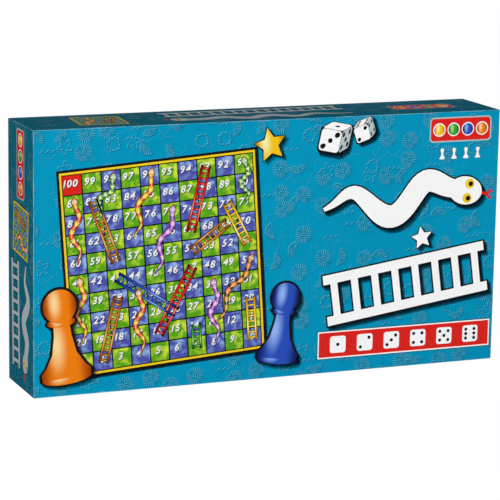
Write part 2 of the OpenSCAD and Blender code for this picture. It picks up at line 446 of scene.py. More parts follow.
# %% [markdown]
# ## The ground's motifs
#
# The blue ground is printed tone on tone with small bursts, rings and waves.
# A Voronoi texture scatters them without a single shape: each cell's random
# colour picks and turns its motif. A motif is a thin band at a set distance
# from the middle, wavy for a flower and broken into rays for a burst.

# %% Node group: ground motifs
MOTIF_CELL = 17.0
LINE_HALF = 0.018
RIM_HALF = 0.012
LINE_SOFTNESS = 0.4
RAYS = 21
FULL_TURN = 2 * math.pi

motifs, start, end = effect("ground motifs", {"Vector": "Vector"}, {"Mask": "Float"})
spread = vector_maths(motifs, "SCALE", start["Vector"], scale=1 / MOTIF_CELL)
cells = node(motifs, "TexVoronoi", {"Vector": spread, "Scale": 1.0, "Randomness": 0.8},
             voronoi_dimensions="2D")
local_x, local_y, _ = axes(motifs, vector_maths(motifs, "SUBTRACT", spread, cells.outputs["Position"]))
pick, turn, _ = node(motifs, "SeparateColor", {0: cells.outputs["Color"]}).outputs
reach = cells.outputs["Distance"]
angle = maths(motifs, "ADD", maths(motifs, "ARCTAN2", local_y, local_x), product(motifs, turn, FULL_TURN))


def band(value, middle, half):
    """1 where value is within half of middle."""
    return between(motifs, from_middle(motifs, value, middle), half * (1 - LINE_SOFTNESS),
                   half * (1 + LINE_SOFTNESS), to_low=1.0, to_high=0.0)


def lobed(count, radius, swing):
    """The outline of a flower or a star with this many lobes."""
    ripple = product(motifs, maths(motifs, "COSINE", product(motifs, angle, count)), -swing)
    return band(maths(motifs, "ADD", reach, ripple), radius, LINE_HALF)


def picked(low, high, mask):
    """The mask, only in the cells whose random number lies from low to high."""
    return product(motifs, maths(motifs, "GREATER_THAN", pick, low),
                   maths(motifs, "LESS_THAN", pick, high), mask)


print(f"motif lines: {2 * LINE_HALF * MOTIF_CELL:.1f} mm wide")

# %% Draw the motifs
RAY_EDGE = (0.35, 0.75)
RING = 0.07
BURST = {"middle": 0.26, "half": 0.12}
FAN_RIM = 0.36
FAN_LEAF = {"middle": 0.22, "half": 0.14}
STAR = {"count": 5, "radius": 0.24, "swing": 0.09}
FLOWER = {"count": 9, "radius": 0.27, "swing": 0.035}
WAVE = {"half": 0.015, "reach": 0.34, "ripples": 26, "swing": 0.05}
CRACKS = {"Scale": 2.4, "Randomness": 1.0}
CRACK_EDGE = (0.010, 0.022)
CRACK_SHARE = 0.6
PATCH_EDGE = (0.52, 0.62)

rays = between(motifs, maths(motifs, "SINE", product(motifs, angle, RAYS)), *RAY_EDGE)
ring = band(reach, RING, LINE_HALF)
burst = maths(motifs, "MAXIMUM", product(motifs, band(reach, **BURST), rays), ring)
half_turn = between(motifs, maths(motifs, "SINE", angle), 0.0, 0.1)
leaf = product(motifs, band(reach, **FAN_LEAF), rays)
fan = product(motifs, half_turn, maths(motifs, "MAXIMUM", band(reach, FAN_RIM, RIM_HALF), leaf))
star = lobed(**STAR)
flower = lobed(**FLOWER)
swell = product(motifs, maths(motifs, "SINE", product(motifs, local_x, WAVE["ripples"])), WAVE["swing"])
crest = band(maths(motifs, "SUBTRACT", local_y, swell), 0.0, WAVE["half"])
wave_line = product(motifs, crest, band(local_x, 0.0, WAVE["reach"]))
crackle = node(motifs, "TexVoronoi", {"Vector": spread, **CRACKS},
               voronoi_dimensions="2D", feature="DISTANCE_TO_EDGE").outputs[0]
patches = between(motifs, noise(motifs, spread, scale=1.3), *PATCH_EDGE)
drawn = product(motifs, between(motifs, crackle, *CRACK_EDGE, to_low=CRACK_SHARE, to_high=0.0), patches)
MOTIF_SHARES = [(-0.1, 0.30, fan), (0.30, 0.62, burst), (0.62, 0.74, star), (0.74, 0.88, flower),
                (0.88, 1.1, wave_line)]
for low_share, high_share, motif in MOTIF_SHARES:
    drawn = maths(motifs, "MAXIMUM", drawn, picked(low_share, high_share, motif))
motifs.links.new(drawn, end["Mask"])
print("motifs:", len(MOTIF_SHARES), "in cells of", MOTIF_CELL, "mm")

# %% [markdown]
# ## The printed ground
#
# One ink covers the panel of a tray and a darker one its walls; the walls'
# darker teal is partly painted shade. The motifs are drawn twice, a little
# apart, once darker and once lighter, so they look embossed. Mottle and a
# soft halo keep the ground from being flat. At the ends of the box the flap of
# paper under the long wall's paper shows as a ridge.

# %% The ground's ink and the flap
FLAP = 13.0
FLAP_SLOPE = 0.7
FLAP_RIDGE = 0.12
END_SKIN = 0.3
GLINT_STEP = (0.6, -0.6, 0)
HALO_EDGE = (0.5, 0.75)
GROUND_SHARES = {"darker": 0.7, "lighter": 0.42, "glint": 0.75, "line": 1.0, "mottle": 0.07, "halo": 0.11}


def ground_ink(tree, place, uv, ink):
    """The ground's ink with its motifs, mottle and halo."""
    share = GROUND_SHARES
    darker = blend_colour(tree, share["darker"], ink, rgb("#032b3a"))
    lighter = blend_colour(tree, share["lighter"], ink, rgb("#9fe4f4"))
    shifted = vector_maths(tree, "ADD", uv, GLINT_STEP)
    glint = placed(tree, motifs, {"Vector": shifted})["Mask"]
    line = placed(tree, motifs, {"Vector": uv})["Mask"]
    mottle = between(tree, noise(tree, place, scale=9, detail=4), *CLOUDS)
    halo = between(tree, noise(tree, uv, scale=0.09), *HALO_EDGE)
    ink = blend_colour(tree, product(tree, glint, share["glint"]), ink, lighter)
    for name, mask in (("line", line), ("mottle", mottle), ("halo", halo)):
        ink = blend_colour(tree, product(tree, mask, share[name]), ink, darker)
    return ink


def flap_ridge(tree, place, low, high):
    """The height of the flap's edge on the two ends of a tray."""
    middle, half = (low + high) / 2, (high - low) / 2
    aside = vector_maths(tree, "ABSOLUTE", vector_maths(tree, "SUBTRACT", place, middle))
    flap_x, _, flap_z = axes(tree, aside)
    on_end = maths(tree, "GREATER_THAN", flap_x, half.x - END_SKIN * MM)
    under = between(tree, flap_z, half.z - FLAP * MM, half.z - (FLAP - FLAP_SLOPE) * MM,
                    to_high=FLAP_RIDGE * MM)
    return product(tree, on_end, under)


print("flap:", FLAP, "mm wide,", FLAP_RIDGE, "mm high")

# %% Paper for the lid and the base
SIDE_FROM = 0.3
SIDE_TO = 0.45
EDGE_WEAR_AND_HIGHLIGHT_WIDTH = 0.45
EDGE_WEAR_AND_HIGHLIGHT_SHARE = 0.5


def wrap_paper(name, low, high, face_y, face_ink, side_ink_with_painted_shade):
    """Paper that wraps a tray: one ink on its panel, a darker one, partly painted shade, on its walls."""
    made, tree, shader = material(name, PRINT_ROUGHNESS, PRINT_SPECULAR)
    place = object_vector(tree)
    behind = from_middle(tree, axes(tree, place)[1], face_y)
    on_side = between(tree, behind, SIDE_FROM * MM, SIDE_TO * MM)
    # The walls' darker ink is partly painted shade, standing in for less light on them.
    plain = blend_colour(tree, on_side, rgb(face_ink), rgb(side_ink_with_painted_shade))
    ink = ground_ink(tree, place, uv_vector(tree), plain)
    worn_and_lit_edge = placed(tree, edge_wear_and_highlight, {
        "Vector": place, "Centre": (low + high) / 2, "Half": (high - low) / 2,
        "Width": EDGE_WEAR_AND_HIGHLIGHT_WIDTH * MM})["Mask"]
    # Pale paper along the edges: partly wear, partly a painted highlight on the rounded edge.
    ink = blend_colour(tree, product(tree, worn_and_lit_edge, EDGE_WEAR_AND_HIGHLIGHT_SHARE), ink, rgb("#b9dbe4"))
    tree.links.new(ink, shader.inputs["Base Color"])
    filmed(tree, shader, ridge=flap_ridge(tree, place, low, high))
    return made


# The walls' darker teal is partly painted shade; the base's paper takes it all over.
lid_print = wrap_paper("lid print", lid_low, lid_high, lid_low.y, "#0696be", "#066c84")
base_print = wrap_paper("base print", base_low, base_high, base_high.y, "#066c84", "#066c84")
print("wrap papers:", lid_print.name, "and", base_print.name)

# %% [markdown]
# ## The lid's paper and the base's paper
#
# The CAD paper has razor edges. Real paper is pulled round the greyboard with
# a bone folder, so its edges have a radius of about half a millimetre. A
# bevel on the CAD piece itself would fail, because its mesh is loose
# triangles. So a copy is merged, and only the edges on the outside of the box
# are bevelled. Its UV map is the unfolded sheet in millimetres.

# %% Copy a CAD piece
MERGE = 0.001


def loose_copy(node_name, name):
    """A copy of a CAD node, selected and active, which rides on nothing yet."""
    piece = NODES[node_name].copy()
    piece.data = NODES[node_name].data.copy()
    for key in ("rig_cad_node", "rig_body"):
        del piece[key]
    piece.parent = None
    piece.name = piece.data.name = name
    bpy.context.collection.objects.link(piece)
    bpy.ops.object.select_all(action="DESELECT")
    piece.select_set(True)
    bpy.context.view_layer.objects.active = piece
    return piece


def merge_all():
    """Join the active mesh's loose triangles, in edit mode, and leave all of it selected."""
    bpy.ops.object.mode_set(mode="EDIT")
    bpy.ops.mesh.select_mode(type="EDGE")
    bpy.ops.mesh.select_all(action="SELECT")
    bpy.ops.mesh.remove_doubles(threshold=MERGE * MM)


print("points closer than", MERGE, "mm are merged")

# %% Round a copy's outer edges
EDGE_ROUND = 0.5
EDGE_SEGMENTS = 4
TOUCH = 0.01
FLAT_UNDER = math.radians(1)
PAPER_SMOOTH_UNDER = math.radians(50)


def outer_flags(point, low, high):
    """For x, y and z: does the point lie on the outside of the box?"""
    return [min(abs(point[i] - low[i]), abs(point[i] - high[i])) < TOUCH * MM for i in range(3)]


def unfold(piece):
    """Write a UV map that is each face's own plane, in millimetres."""
    mesh = piece.data
    layer = mesh.uv_layers[0] if mesh.uv_layers else mesh.uv_layers.new()
    for face in mesh.polygons:
        axis = max(range(3), key=lambda i: abs(face.normal[i]))
        across, along = [(1, 2), (0, 2), (0, 1)][axis]
        for loop in face.loop_indices:
            at = mesh.vertices[mesh.loops[loop].vertex_index].co / MM
            layer.data[loop].uv = (at[across], at[along])


def rounded_copy(node_name, name):
    """A copy of a CAD node with the edges of its outer box rounded."""
    piece = loose_copy(node_name, name)
    low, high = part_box(node_name)
    merge_all()
    bpy.ops.mesh.dissolve_limited(angle_limit=FLAT_UNDER)
    bpy.ops.mesh.select_all(action="DESELECT")
    bpy.ops.object.mode_set(mode="OBJECT")
    for edge in piece.data.edges:
        ends = [outer_flags(piece.data.vertices[v].co, low, high) for v in edge.vertices]
        edge.select = sum(a and b for a, b in zip(*ends)) >= 2
    bpy.ops.object.mode_set(mode="EDIT")
    bpy.ops.mesh.bevel(offset=EDGE_ROUND * MM, segments=EDGE_SEGMENTS, affect="EDGES")
    bpy.ops.object.mode_set(mode="OBJECT")
    bpy.ops.object.shade_smooth_by_angle(angle=PAPER_SMOOTH_UNDER)
    unfold(piece)
    return piece


print("edges are rounded by", EDGE_ROUND, "mm")

# %% Put the papers on their trays


def dress(piece, made, body):
    """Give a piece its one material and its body."""
    piece.data.materials.clear()
    piece.data.materials.append(made)
    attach(piece, body)


lid_paper = rounded_copy("lid_wrap", "lid_paper")
dress(lid_paper, lid_print, "lid")
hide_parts("lid_wrap")
base_paper = rounded_copy("base_wrap", "base_paper")
dress(base_paper, base_print, "base")
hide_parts("base_wrap")
print("lid paper faces:", len(lid_paper.data.polygons))

# %% [markdown]
# ## Printed shapes
#
# Print could be an image laid on the box. Here each ink is a very thin solid,
# which is crisp at any size. A shape is drawn lying on the world's floor, in
# millimetres: a plate, a disc, a filled outline, or a ribbon that a Curve
# modifier bends along a route. It is then taken out of the scene until it is
# printed, because Blender slows down with every object that is in it.

# %% Plates and discs
CORNER_SEGMENTS = 6
DISC_SIDES = 40
SMALL_DISC_SIDES = 20
DOT_SIDES = 16


def apply_place():
    bpy.ops.object.transform_apply(location=True, rotation=True, scale=True)


def put_by():
    """Take the active object out of the scene until it is needed."""
    shape = bpy.context.object
    bpy.context.collection.objects.unlink(shape)
    return shape


def plate(width, height, at=(0, 0), turn=0, corner=0):
    """A flat rectangle, with rounded corners if corner is set."""
    bpy.ops.mesh.primitive_plane_add(
        size=MM, location=(at[0] * MM, at[1] * MM, 0), rotation=(0, 0, math.radians(turn)))
    bpy.context.object.scale = (width, height, 1)
    apply_place()
    if corner:
        bpy.ops.object.mode_set(mode="EDIT")
        bpy.ops.mesh.select_all(action="SELECT")
        bpy.ops.mesh.bevel(offset=corner * MM, segments=CORNER_SEGMENTS, affect="VERTICES")
        bpy.ops.object.mode_set(mode="OBJECT")
    return put_by()


def disc(radius, at=(0, 0), stretch=(1, 1), turn=0, sides=DISC_SIDES):
    """A flat disc, or an ellipse if it is stretched."""
    bpy.ops.mesh.primitive_circle_add(
        vertices=sides, radius=radius * MM, fill_type="NGON",
        location=(at[0] * MM, at[1] * MM, 0), rotation=(0, 0, math.radians(turn)))
    bpy.context.object.scale = (*stretch, 1)
    apply_place()
    return put_by()


print("a disc has", DISC_SIDES, "sides")

# %% Outlines and ribbons
CURVE_STEPS = 6
CURVE_ORDER = 4
RIBBON_STEPS = 48
WAVE_FADE_SHARE = 0.25


def spline(kind, route, widths=None, closed=False):
    """A flat curve object through or near the route's points."""
    bpy.ops.curve.primitive_nurbs_path_add()
    holder = bpy.context.object
    holder.data.dimensions = "2D"
    holder.data.fill_mode = "BOTH" if closed else "NONE"
    holder.data.splines.clear()
    line = holder.data.splines.new(kind)
    line.points.add(len(route) - 1)
    for i, at in enumerate(route):
        line.points[i].co = (at[0] * MM, at[1] * MM, 0, 1)
        line.points[i].radius = widths[i] if widths else 1
    line.use_cyclic_u = closed
    line.order_u = CURVE_ORDER
    line.use_endpoint_u = not closed
    line.resolution_u = CURVE_STEPS
    return holder


def fit_uv(shape):
    """A UV map that runs from 0 to 1 across the shape's own box."""
    mesh = shape.data
    layer = mesh.uv_layers[0] if mesh.uv_layers else mesh.uv_layers.new()
    low = [min(v.co[i] for v in mesh.vertices) for i in range(2)]
    size = [max(v.co[i] for v in mesh.vertices) - low[i] for i in range(2)]
    for loop in mesh.loops:
        at = mesh.vertices[loop.vertex_index].co
        layer.data[loop.index].uv = [(at[i] - low[i]) / size[i] for i in range(2)]


def patch(outline):
    """A filled outline."""
    spline("POLY", outline, closed=True)
    bpy.ops.object.convert(target="MESH")
    fit_uv(bpy.context.object)
    return put_by()


def ribbon(route, widths, steps=RIBBON_STEPS):
    """A flat band that follows a smooth route. Its UV map runs along and across it."""
    path = spline("NURBS", route, widths)
    length = path.data.splines[0].calc_length()
    bpy.ops.mesh.primitive_grid_add(x_subdivisions=steps, y_subdivisions=1, size=1)
    strip = bpy.context.object
    strip.location.x = length / 2
    strip.scale = (length, MM, 1)
    apply_place()
    bend = strip.modifiers.new("bend", "CURVE")
    bend.object = path
    bpy.ops.object.modifier_apply(modifier="bend")
    bpy.data.objects.remove(path)
    return put_by()


def wave(start, end, swing, bends, count):
    """Points from start to end that swing from side to side, less at both ends."""
    run = Vector(end) - Vector(start)
    aside = Vector((-run.y, run.x)).normalized()
    points = []
    for i in range(count):
        along = i / (count - 1)
        fade = min(1, along / WAVE_FADE_SHARE, (1 - along) / WAVE_FADE_SHARE)
        sway = swing * fade * math.sin(math.pi * bends * along)
        points.append(Vector(start) + run * along + aside * sway)
    return points


print("a ribbon has", RIBBON_STEPS, "steps")

# %% [markdown]
# ## Pictures
#
# A picture is a list of shapes, each with its ink and layer, so that it can
# be stamped at any size on any face: the playing board is drawn once, and
# printed on the board itself and on the cover. To print it, the shapes of one
# ink and layer are joined, solidified and turned onto their face. A later
# layer is a little higher than the one that it covers.

# %% Pictures: lists of (shape, ink, layer)


def stamped(picture, at=(0, 0), scale=1.0, turn=0):
    """A copy of a picture, moved, scaled and turned."""
    move = (Matrix.Translation((at[0] * MM, at[1] * MM, 0))
            @ Matrix.Rotation(math.radians(turn), 4, "Z") @ Matrix.Diagonal((scale, scale, 1, 1)))
    copies = []
    for shape, ink, layer in picture:
        twin = shape.copy()
        twin.data = shape.data.copy()
        twin.data.transform(move)
        copies.append((twin, ink, layer))
    return copies


def erase(picture):
    for shape, _, _ in picture:
        bpy.data.objects.remove(shape)


def moved(picture, at, scale=1.0, turn=0):
    """Move a picture that isn't needed anywhere else."""
    copies = stamped(picture, at, scale, turn)
    erase(picture)
    return copies


def lifted(picture, layers):
    """Raise a picture over the layers that lie under it."""
    return [(shape, ink, layer + layers) for shape, ink, layer in picture]


def panel(plates):
    """Plates on top of each other, each given as a width, a height, a corner and an ink."""
    return [(plate(width, height, corner=corner), ink_name, layer)
            for layer, (width, height, corner, ink_name) in enumerate(plates)]


test_panel = panel([(2, 2, 0, "black"), (1, 1, 0, "white")])
print("layers of two plates:", [layer for _, _, layer in test_panel])
erase(test_panel)

# %% Print a picture on a face
INK_STEP = 0.015
FOLD_TRIM = 0.03
PRINTED = []


def joined(shapes, name):
    bpy.ops.object.select_all(action="DESELECT")
    for shape in shapes:
        bpy.context.collection.objects.link(shape)
        shape.select_set(True)
    bpy.context.view_layer.objects.active = shapes[0]
    bpy.ops.object.join()
    shapes[0].name = shapes[0].data.name = name
    return shapes[0]


def keep_half(piece, side):
    """Cut a piece just off its drawing's middle, and keep the upper (1) or lower (-1) half."""
    bpy.ops.object.mode_set(mode="EDIT")
    bpy.ops.mesh.select_all(action="SELECT")
    cut = (0, side * FOLD_TRIM * MM, 0)
    bpy.ops.mesh.bisect(plane_co=cut, plane_no=(0, side, 0), clear_inner=True)
    bpy.ops.object.mode_set(mode="OBJECT")
    return len(piece.data.vertices) > 0


def print_picture(picture, face, prefix, body, step=INK_STEP, half=0):
    """Print a picture on a face: each ink of each layer becomes one thin solid."""
    groups = {}
    for shape, ink, layer in picture:
        groups.setdefault((layer, ink), []).append(shape)
    for (layer, ink), shapes in sorted(groups.items()):
        piece = joined(shapes, f"{prefix}_{ink}_{layer:02d}")
        if half and not keep_half(piece, half):
            bpy.data.objects.remove(piece)
            continue
        solid = piece.modifiers.new("ink", "SOLIDIFY")
        solid.thickness = (layer + 1) * step * MM
        solid.offset = 1
        bpy.ops.object.modifier_apply(modifier="ink")
        piece.data.transform(face)
        dress(piece, INKS[ink], body)
        PRINTED.append(put_by())
    print(prefix, "inks:", len(groups))


print("each layer is", INK_STEP, "mm higher than the last")

# %% [markdown]
# Six faces take print. Each has a matrix that turns the drawing floor onto
# it: where its middle is, which way is right for someone who reads it, and
# which way is out. The sides are read with the box on its end, as on a shelf.

# %% The faces that take print


def face_matrix(origin, across, out):
    """The matrix that turns the drawing floor onto a face of the box."""
    x_axis, z_axis = Vector(across), Vector(out)
    y_axis = z_axis.cross(x_axis)
    turn = Matrix((x_axis, y_axis, z_axis)).transposed().to_4x4()
    return Matrix.Translation(origin) @ turn


middle = (lid_low + lid_high) / 2
COVER = face_matrix((middle.x, lid_low.y, middle.z), (1, 0, 0), (0, -1, 0))
LEFT = face_matrix((lid_low.x, middle.y, middle.z), (0, 0, -1), (-1, 0, 0))
RIGHT = face_matrix((lid_high.x, middle.y, middle.z), (0, 0, 1), (1, 0, 0))
TOP = face_matrix((middle.x, middle.y, lid_high.z), (-1, 0, 0), (0, 0, 1))
BOTTOM = face_matrix((middle.x, middle.y, lid_low.z), (1, 0, 0), (0, 0, -1))
BACK = face_matrix((middle.x, base_high.y, middle.z), (-1, 0, 0), (0, 1, 0))
print("middle of the cover:", [round(c / MM, 1) for c in COVER.translation])

# %% [markdown]
# ## Inks
#
# Pictures on such a box are airbrushed: a round shape is lighter towards its
# upper left and darker at its rim, which the shape's own UV map gives. A
# snake's skin is banded along its length, and the board's squares are
# clouded with a lighter tone. The soft shadow is a thin dark haze. One
# function puts every ink under the same film.

# %% Inks for plain and round shapes
SPOT_SHARES = (0.35, 0.62, 0)
SPOT_STRETCH = (1, 0.4, 0)
SPOT_REACH = 0.26
SPOT_STRENGTH = 0.9
RIM = (0.2, 0.5)
GREY_SHARE = 0.06


def ink(name, look, *choices):
    """An ink under the film. The look is the function that makes its colour."""
    made, tree, shader = material(name, PRINT_ROUGHNESS, PRINT_SPECULAR)
    tree.links.new(look(tree, *choices), shader.inputs["Base Color"])
    filmed(tree, shader)
    return made


def plain(tree, code):
    grain = noise(tree, object_vector(tree), scale=700, detail=3)
    greyed = between(tree, grain, *CLOUDS, to_high=GREY_SHARE)
    return blend_colour(tree, greyed, rgb(code), rgb("#808080"))


def airbrushed(tree, code, light, dark):
    """Rounded shading: a darker rim and a soft light spot."""
    uv = uv_vector(tree)
    rim = from_middle(tree, axes(tree, uv)[0])
    to_spot = vector_maths(tree, "SUBTRACT", uv, SPOT_SHARES)
    spot = vector_maths(tree, "LENGTH", vector_maths(tree, "MULTIPLY", to_spot, SPOT_STRETCH))
    tone = blend_colour(tree, between(tree, rim, *RIM), rgb(code), rgb(dark))
    lit = between(tree, spot, 0.0, SPOT_REACH, to_low=SPOT_STRENGTH, to_high=0.0)
    return blend_colour(tree, lit, tone, rgb(light))


print("light spot at", SPOT_SHARES[:2], "of a round shape")

# %% Inks for snakes, squares and shadows
SQUARES = 10
SQUARE_LINE_SHARES = (0.462, 0.474)
BELLY = (1, 1, 0.85, 1)
BELLY_REACH = 0.2
BELLY_STRENGTH = 0.45
BAND_EDGE = (0.1, 0.45)
BAND_LEAN = 0.06
SIDE_EDGE = (0.3, 0.5)
SIDE_STRENGTH = 0.55
HAZE_EDGE = (0.42, 0.66)
HAZE_LEAN = (0.3, 1.5)
HAZE_LEAST = 0.35
SHADOW_GRAIN = (0.2, 0.8)
SHADOW_HAZE = (0.17, 0.25)


def snakeskin(tree, code, stripe, bands):
    """Bands along the body, a pale middle and a darker edge on both sides."""
    along, across, _ = axes(tree, uv_vector(tree))
    aside = from_middle(tree, across)
    leaning = maths(tree, "ADD", along, product(tree, aside, BAND_LEAN))
    ripple = maths(tree, "SINE", product(tree, leaning, FULL_TURN * bands))
    tone = blend_colour(tree, between(tree, ripple, *BAND_EDGE), rgb(code), rgb(stripe))
    belly = between(tree, aside, 0.0, BELLY_REACH, to_low=BELLY_STRENGTH, to_high=0.0)
    tone = blend_colour(tree, belly, tone, BELLY)
    return blend_colour(tree, between(tree, aside, *SIDE_EDGE, to_high=SIDE_STRENGTH), tone, BLACK)


def chequered(tree):
    """Ten rows of ten squares, green and violet in turn, clouded like airbrush."""
    uv = uv_vector(tree)
    spot = vector_maths(tree, "SCALE", uv, scale=SQUARES)
    column, row, _ = axes(tree, vector_maths(tree, "FLOOR", spot))
    in_x, in_y, _ = axes(tree, vector_maths(tree, "FRACTION", spot))
    odd = maths(tree, "MODULO", maths(tree, "ADD", column, row), 2.0)
    lean = between(tree, maths(tree, "ADD", in_x, in_y), *HAZE_LEAN, to_low=HAZE_LEAST)
    haze = product(tree, between(tree, noise(tree, uv, scale=26), *HAZE_EDGE), lean)
    green = blend_colour(tree, haze, rgb("#55a41d"), rgb("#d0e344"))
    violet = blend_colour(tree, haze, rgb("#4d52aa"), rgb("#93b6e8"))
    edge = maths(tree, "MAXIMUM", from_middle(tree, in_x), from_middle(tree, in_y))
    line = between(tree, edge, *SQUARE_LINE_SHARES)
    return blend_colour(tree, line, blend_colour(tree, odd, green, violet), rgb("#0b0c10"))


def shadow_ink(name):
    made, tree, shader = material(name, PRINT_ROUGHNESS, PRINT_SPECULAR)
    shader.inputs["Base Color"].default_value = rgb("#02202c")
    grain = noise(tree, object_vector(tree), scale=300, detail=3)
    haze = between(tree, grain, *SHADOW_GRAIN, *SHADOW_HAZE)
    tree.links.new(haze, shader.inputs["Alpha"])
    return made


print("squares:", SQUARES ** 2)

# %% Mix the inks
INKS = {
    "black": ink("black ink", plain, "#0a0b0e"),
    "white": ink("white ink", plain, "#ffffff"),
    "silver": ink("silver ink", plain, "#b9c6c9"),
    "red": ink("red ink", plain, "#df1f18"),
    "yellow": ink("yellow ink", plain, "#f7cf1e"),
    "teal": ink("teal ink", plain, "#0b6f8a"),
    "grey": ink("grey ink", plain, "#9aa3a6"),
    "wood": ink("wood ink", airbrushed, "#c97a2a", "#f2c36b", "#7a3f12"),
    "orange_round": ink("orange round", airbrushed, "#f07f13", "#ffe3a0", "#a3400a"),
    "red_round": ink("red round", airbrushed, "#d9241a", "#ff9a86", "#7d0b0b"),
    "yellow_round": ink("yellow round", airbrushed, "#f6c51c", "#fff6b5", "#b97d05"),
    "green_round": ink("green round", airbrushed, "#3da332", "#b6ec8a", "#155212"),
    "blue_round": ink("blue round", airbrushed, "#2c50b8", "#9cc0ff", "#101f5e"),
    "skin_red": ink("red snake", snakeskin, "#e2471f", "#ffd23a", 7),
    "skin_yellow": ink("yellow snake", snakeskin, "#ffd21f", "#d9541a", 8),
    "skin_violet": ink("violet snake", snakeskin, "#a04ac0", "#f4b3e6", 7),
    "skin_orange": ink("orange snake", snakeskin, "#ff9a1f", "#5a2a0a", 9),
    "skin_green": ink("green snake", snakeskin, "#2f8f4a", "#d8e88a", 9),
    "squares": ink("board squares", chequered),
    "shadow": shadow_ink("soft shadow"),
}
print("inks:", len(INKS))

# %% [markdown]
# ## Snakes and ladders
#
# A snake is a ribbon that narrows at the neck and the tail, with a head, two
# eyes and a forked tongue, over a wider black one that outlines it. Where a
# bend is tighter than half its width the ribbon would fold over itself, so a
# snake has few bends. Small measures are shares of the snake's width or of
# the ladder's bar, so that one function draws each at any size.

# %% Snakes
SNAKE_POINTS = 17
NECK_SHARE = 0.78
NECK_TAPER = 5
TAIL_SHARE = 0.16
TAIL_TAPER = 2.2
HEAD_SHARES = {"radius": 0.62, "nose": 0.45}
HEAD_STRETCH = (1.3, 1)
EYE_SHARES = {"ahead": 0.15, "aside": 0.32, "radius": 0.22, "pupil": 0.11, "glance": 0.05}
TONGUE_SHARES = {"width": 0.12, "root": 0.7, "middle": 0.85, "fork": 1.0, "spread": 1.15, "tip": 1.3,
                 "spread aside": 0.05, "tip aside": 0.2, "tip width": 0.11}
TONGUE_STEPS = 8
OUTLINE = 1.2


def snake_widths(width):
    """The body's width along its length: a slim neck, full width, then a thin tail."""
    widths = []
    for i in range(SNAKE_POINTS):
        along = i / (SNAKE_POINTS - 1)
        neck = NECK_SHARE + (1 - NECK_SHARE) * min(1, along * NECK_TAPER)
        tail = TAIL_SHARE + (1 - TAIL_SHARE) * min(1, (1 - along) * TAIL_TAPER)
        widths.append(width * neck * tail)
    return widths


def tongue(nose, lead, aside, width):
    """A forked tongue: a root and two tips."""
    def spot(ahead, out=0):
        return nose + width * (lead * ahead + aside * out)

    part = TONGUE_SHARES
    root = [spot(part[name]) for name in ("root", "middle", "fork")]
    picture = [(ribbon(root, [width * part["width"]] * len(root), TONGUE_STEPS), "red", 1)]
    for i, side in enumerate((-1, 1)):
        tip = [spot(part["fork"]), spot(part["spread"], side * part["spread aside"]),
               spot(part["tip"], side * part["tip aside"])]
        picture.append((ribbon(tip, [width * part["tip width"]] * len(tip), TONGUE_STEPS), "red", 3 + i))
    return picture


def snake(head, tail, width, swing, bends, skin, line=OUTLINE, eye="white"):
    """A snake from its head to its tail."""
    route = wave(head, tail, swing, bends, SNAKE_POINTS)
    lead = (route[0] - route[1]).normalized()
    aside = Vector((-lead.y, lead.x))
    facing = math.degrees(math.atan2(lead.y, lead.x))
    nose = route[0] + lead * width * HEAD_SHARES["nose"]
    head_radius = width * HEAD_SHARES["radius"]
    body = snake_widths(width)
    picture = [
        (ribbon(route, [w + 2 * line for w in body]), "black", 0),
        (disc(line, route[-1], sides=DOT_SIDES), "black", 0),
        (disc(head_radius + line, nose, HEAD_STRETCH, facing), "black", 0),
        (ribbon(route, body), skin, 1),
        (disc(head_radius, nose, HEAD_STRETCH, facing), skin, 2),
    ]
    for side in (-1, 1):
        at = nose + width * (lead * EYE_SHARES["ahead"] + aside * side * EYE_SHARES["aside"])
        glance = at + lead * width * EYE_SHARES["glance"]
        picture.append((disc(width * EYE_SHARES["radius"], at, sides=SMALL_DISC_SIDES), eye, 3))
        picture.append((disc(width * EYE_SHARES["pupil"], glance, sides=DOT_SIDES), "black", 4))
    return picture + tongue(nose, lead, aside, width)


print("a snake's widths:", [round(width, 2) for width in snake_widths(1)])

# %% Ladders
RUNG_SHARE = 0.8


def ladder(foot, top, width, bar, ink, rung_gap, line=OUTLINE):
    """A ladder from its foot to its top, with rails one bar thick."""
    foot, top = Vector(foot), Vector(top)
    run = top - foot
    aside = Vector((-run.y, run.x)).normalized() * width / 2
    turn = math.degrees(math.atan2(run.y, run.x))
    count = max(2, round(run.length / rung_gap))
    rung = bar * RUNG_SHARE
    picture = []
    for side in (-1, 1):
        at = (foot + top) / 2 + aside * side
        picture.append((plate(run.length + 2 * line, bar + 2 * line, at, turn), "black", 0))
        picture.append((plate(run.length, bar, at, turn), ink, 2))
    for i in range(count):
        at = foot + run * (i + 0.5) / count
        picture.append((plate(width, rung + 2 * line, at, turn + 90), "black", 0))
        picture.append((plate(width, rung, at, turn + 90), ink, 1))
    return picture


print("a rung is", RUNG_SHARE, "of a rail's thickness")

# %% [markdown]
# ## Dice, counters and stars
#
# A die is drawn as a front, a right and an upper face, each a plate with
# pips that a matrix leans over. A counter is a foot, a flared body, a collar
# and a ball. Each part of it has its own layer, because two shapes of one
# layer that overlap would flicker.

# %% Dice
PIP_PLACES = {
    1: [(0, 0)],
    2: [(-1, -1), (1, 1)],
    3: [(-1, -1), (0, 0), (1, 1)],
    4: [(-1, -1), (-1, 1), (1, -1), (1, 1)],
    5: [(-1, -1), (-1, 1), (0, 0), (1, -1), (1, 1)],
    6: [(-1, -1), (-1, 0), (-1, 1), (1, -1), (1, 0), (1, 1)],
}
PIP_SHARES = {"radius": 0.1, "pitch": 0.27}
DIE_CORNER_SHARE = 0.16
DIE_LEAN_SHARES = (0.42, 0.336)
DIE_OUTLINE_SHARE = 1.12
DIE_FACE_SHARE = 0.97
DIE_SHADES = ("white", "silver", "white")


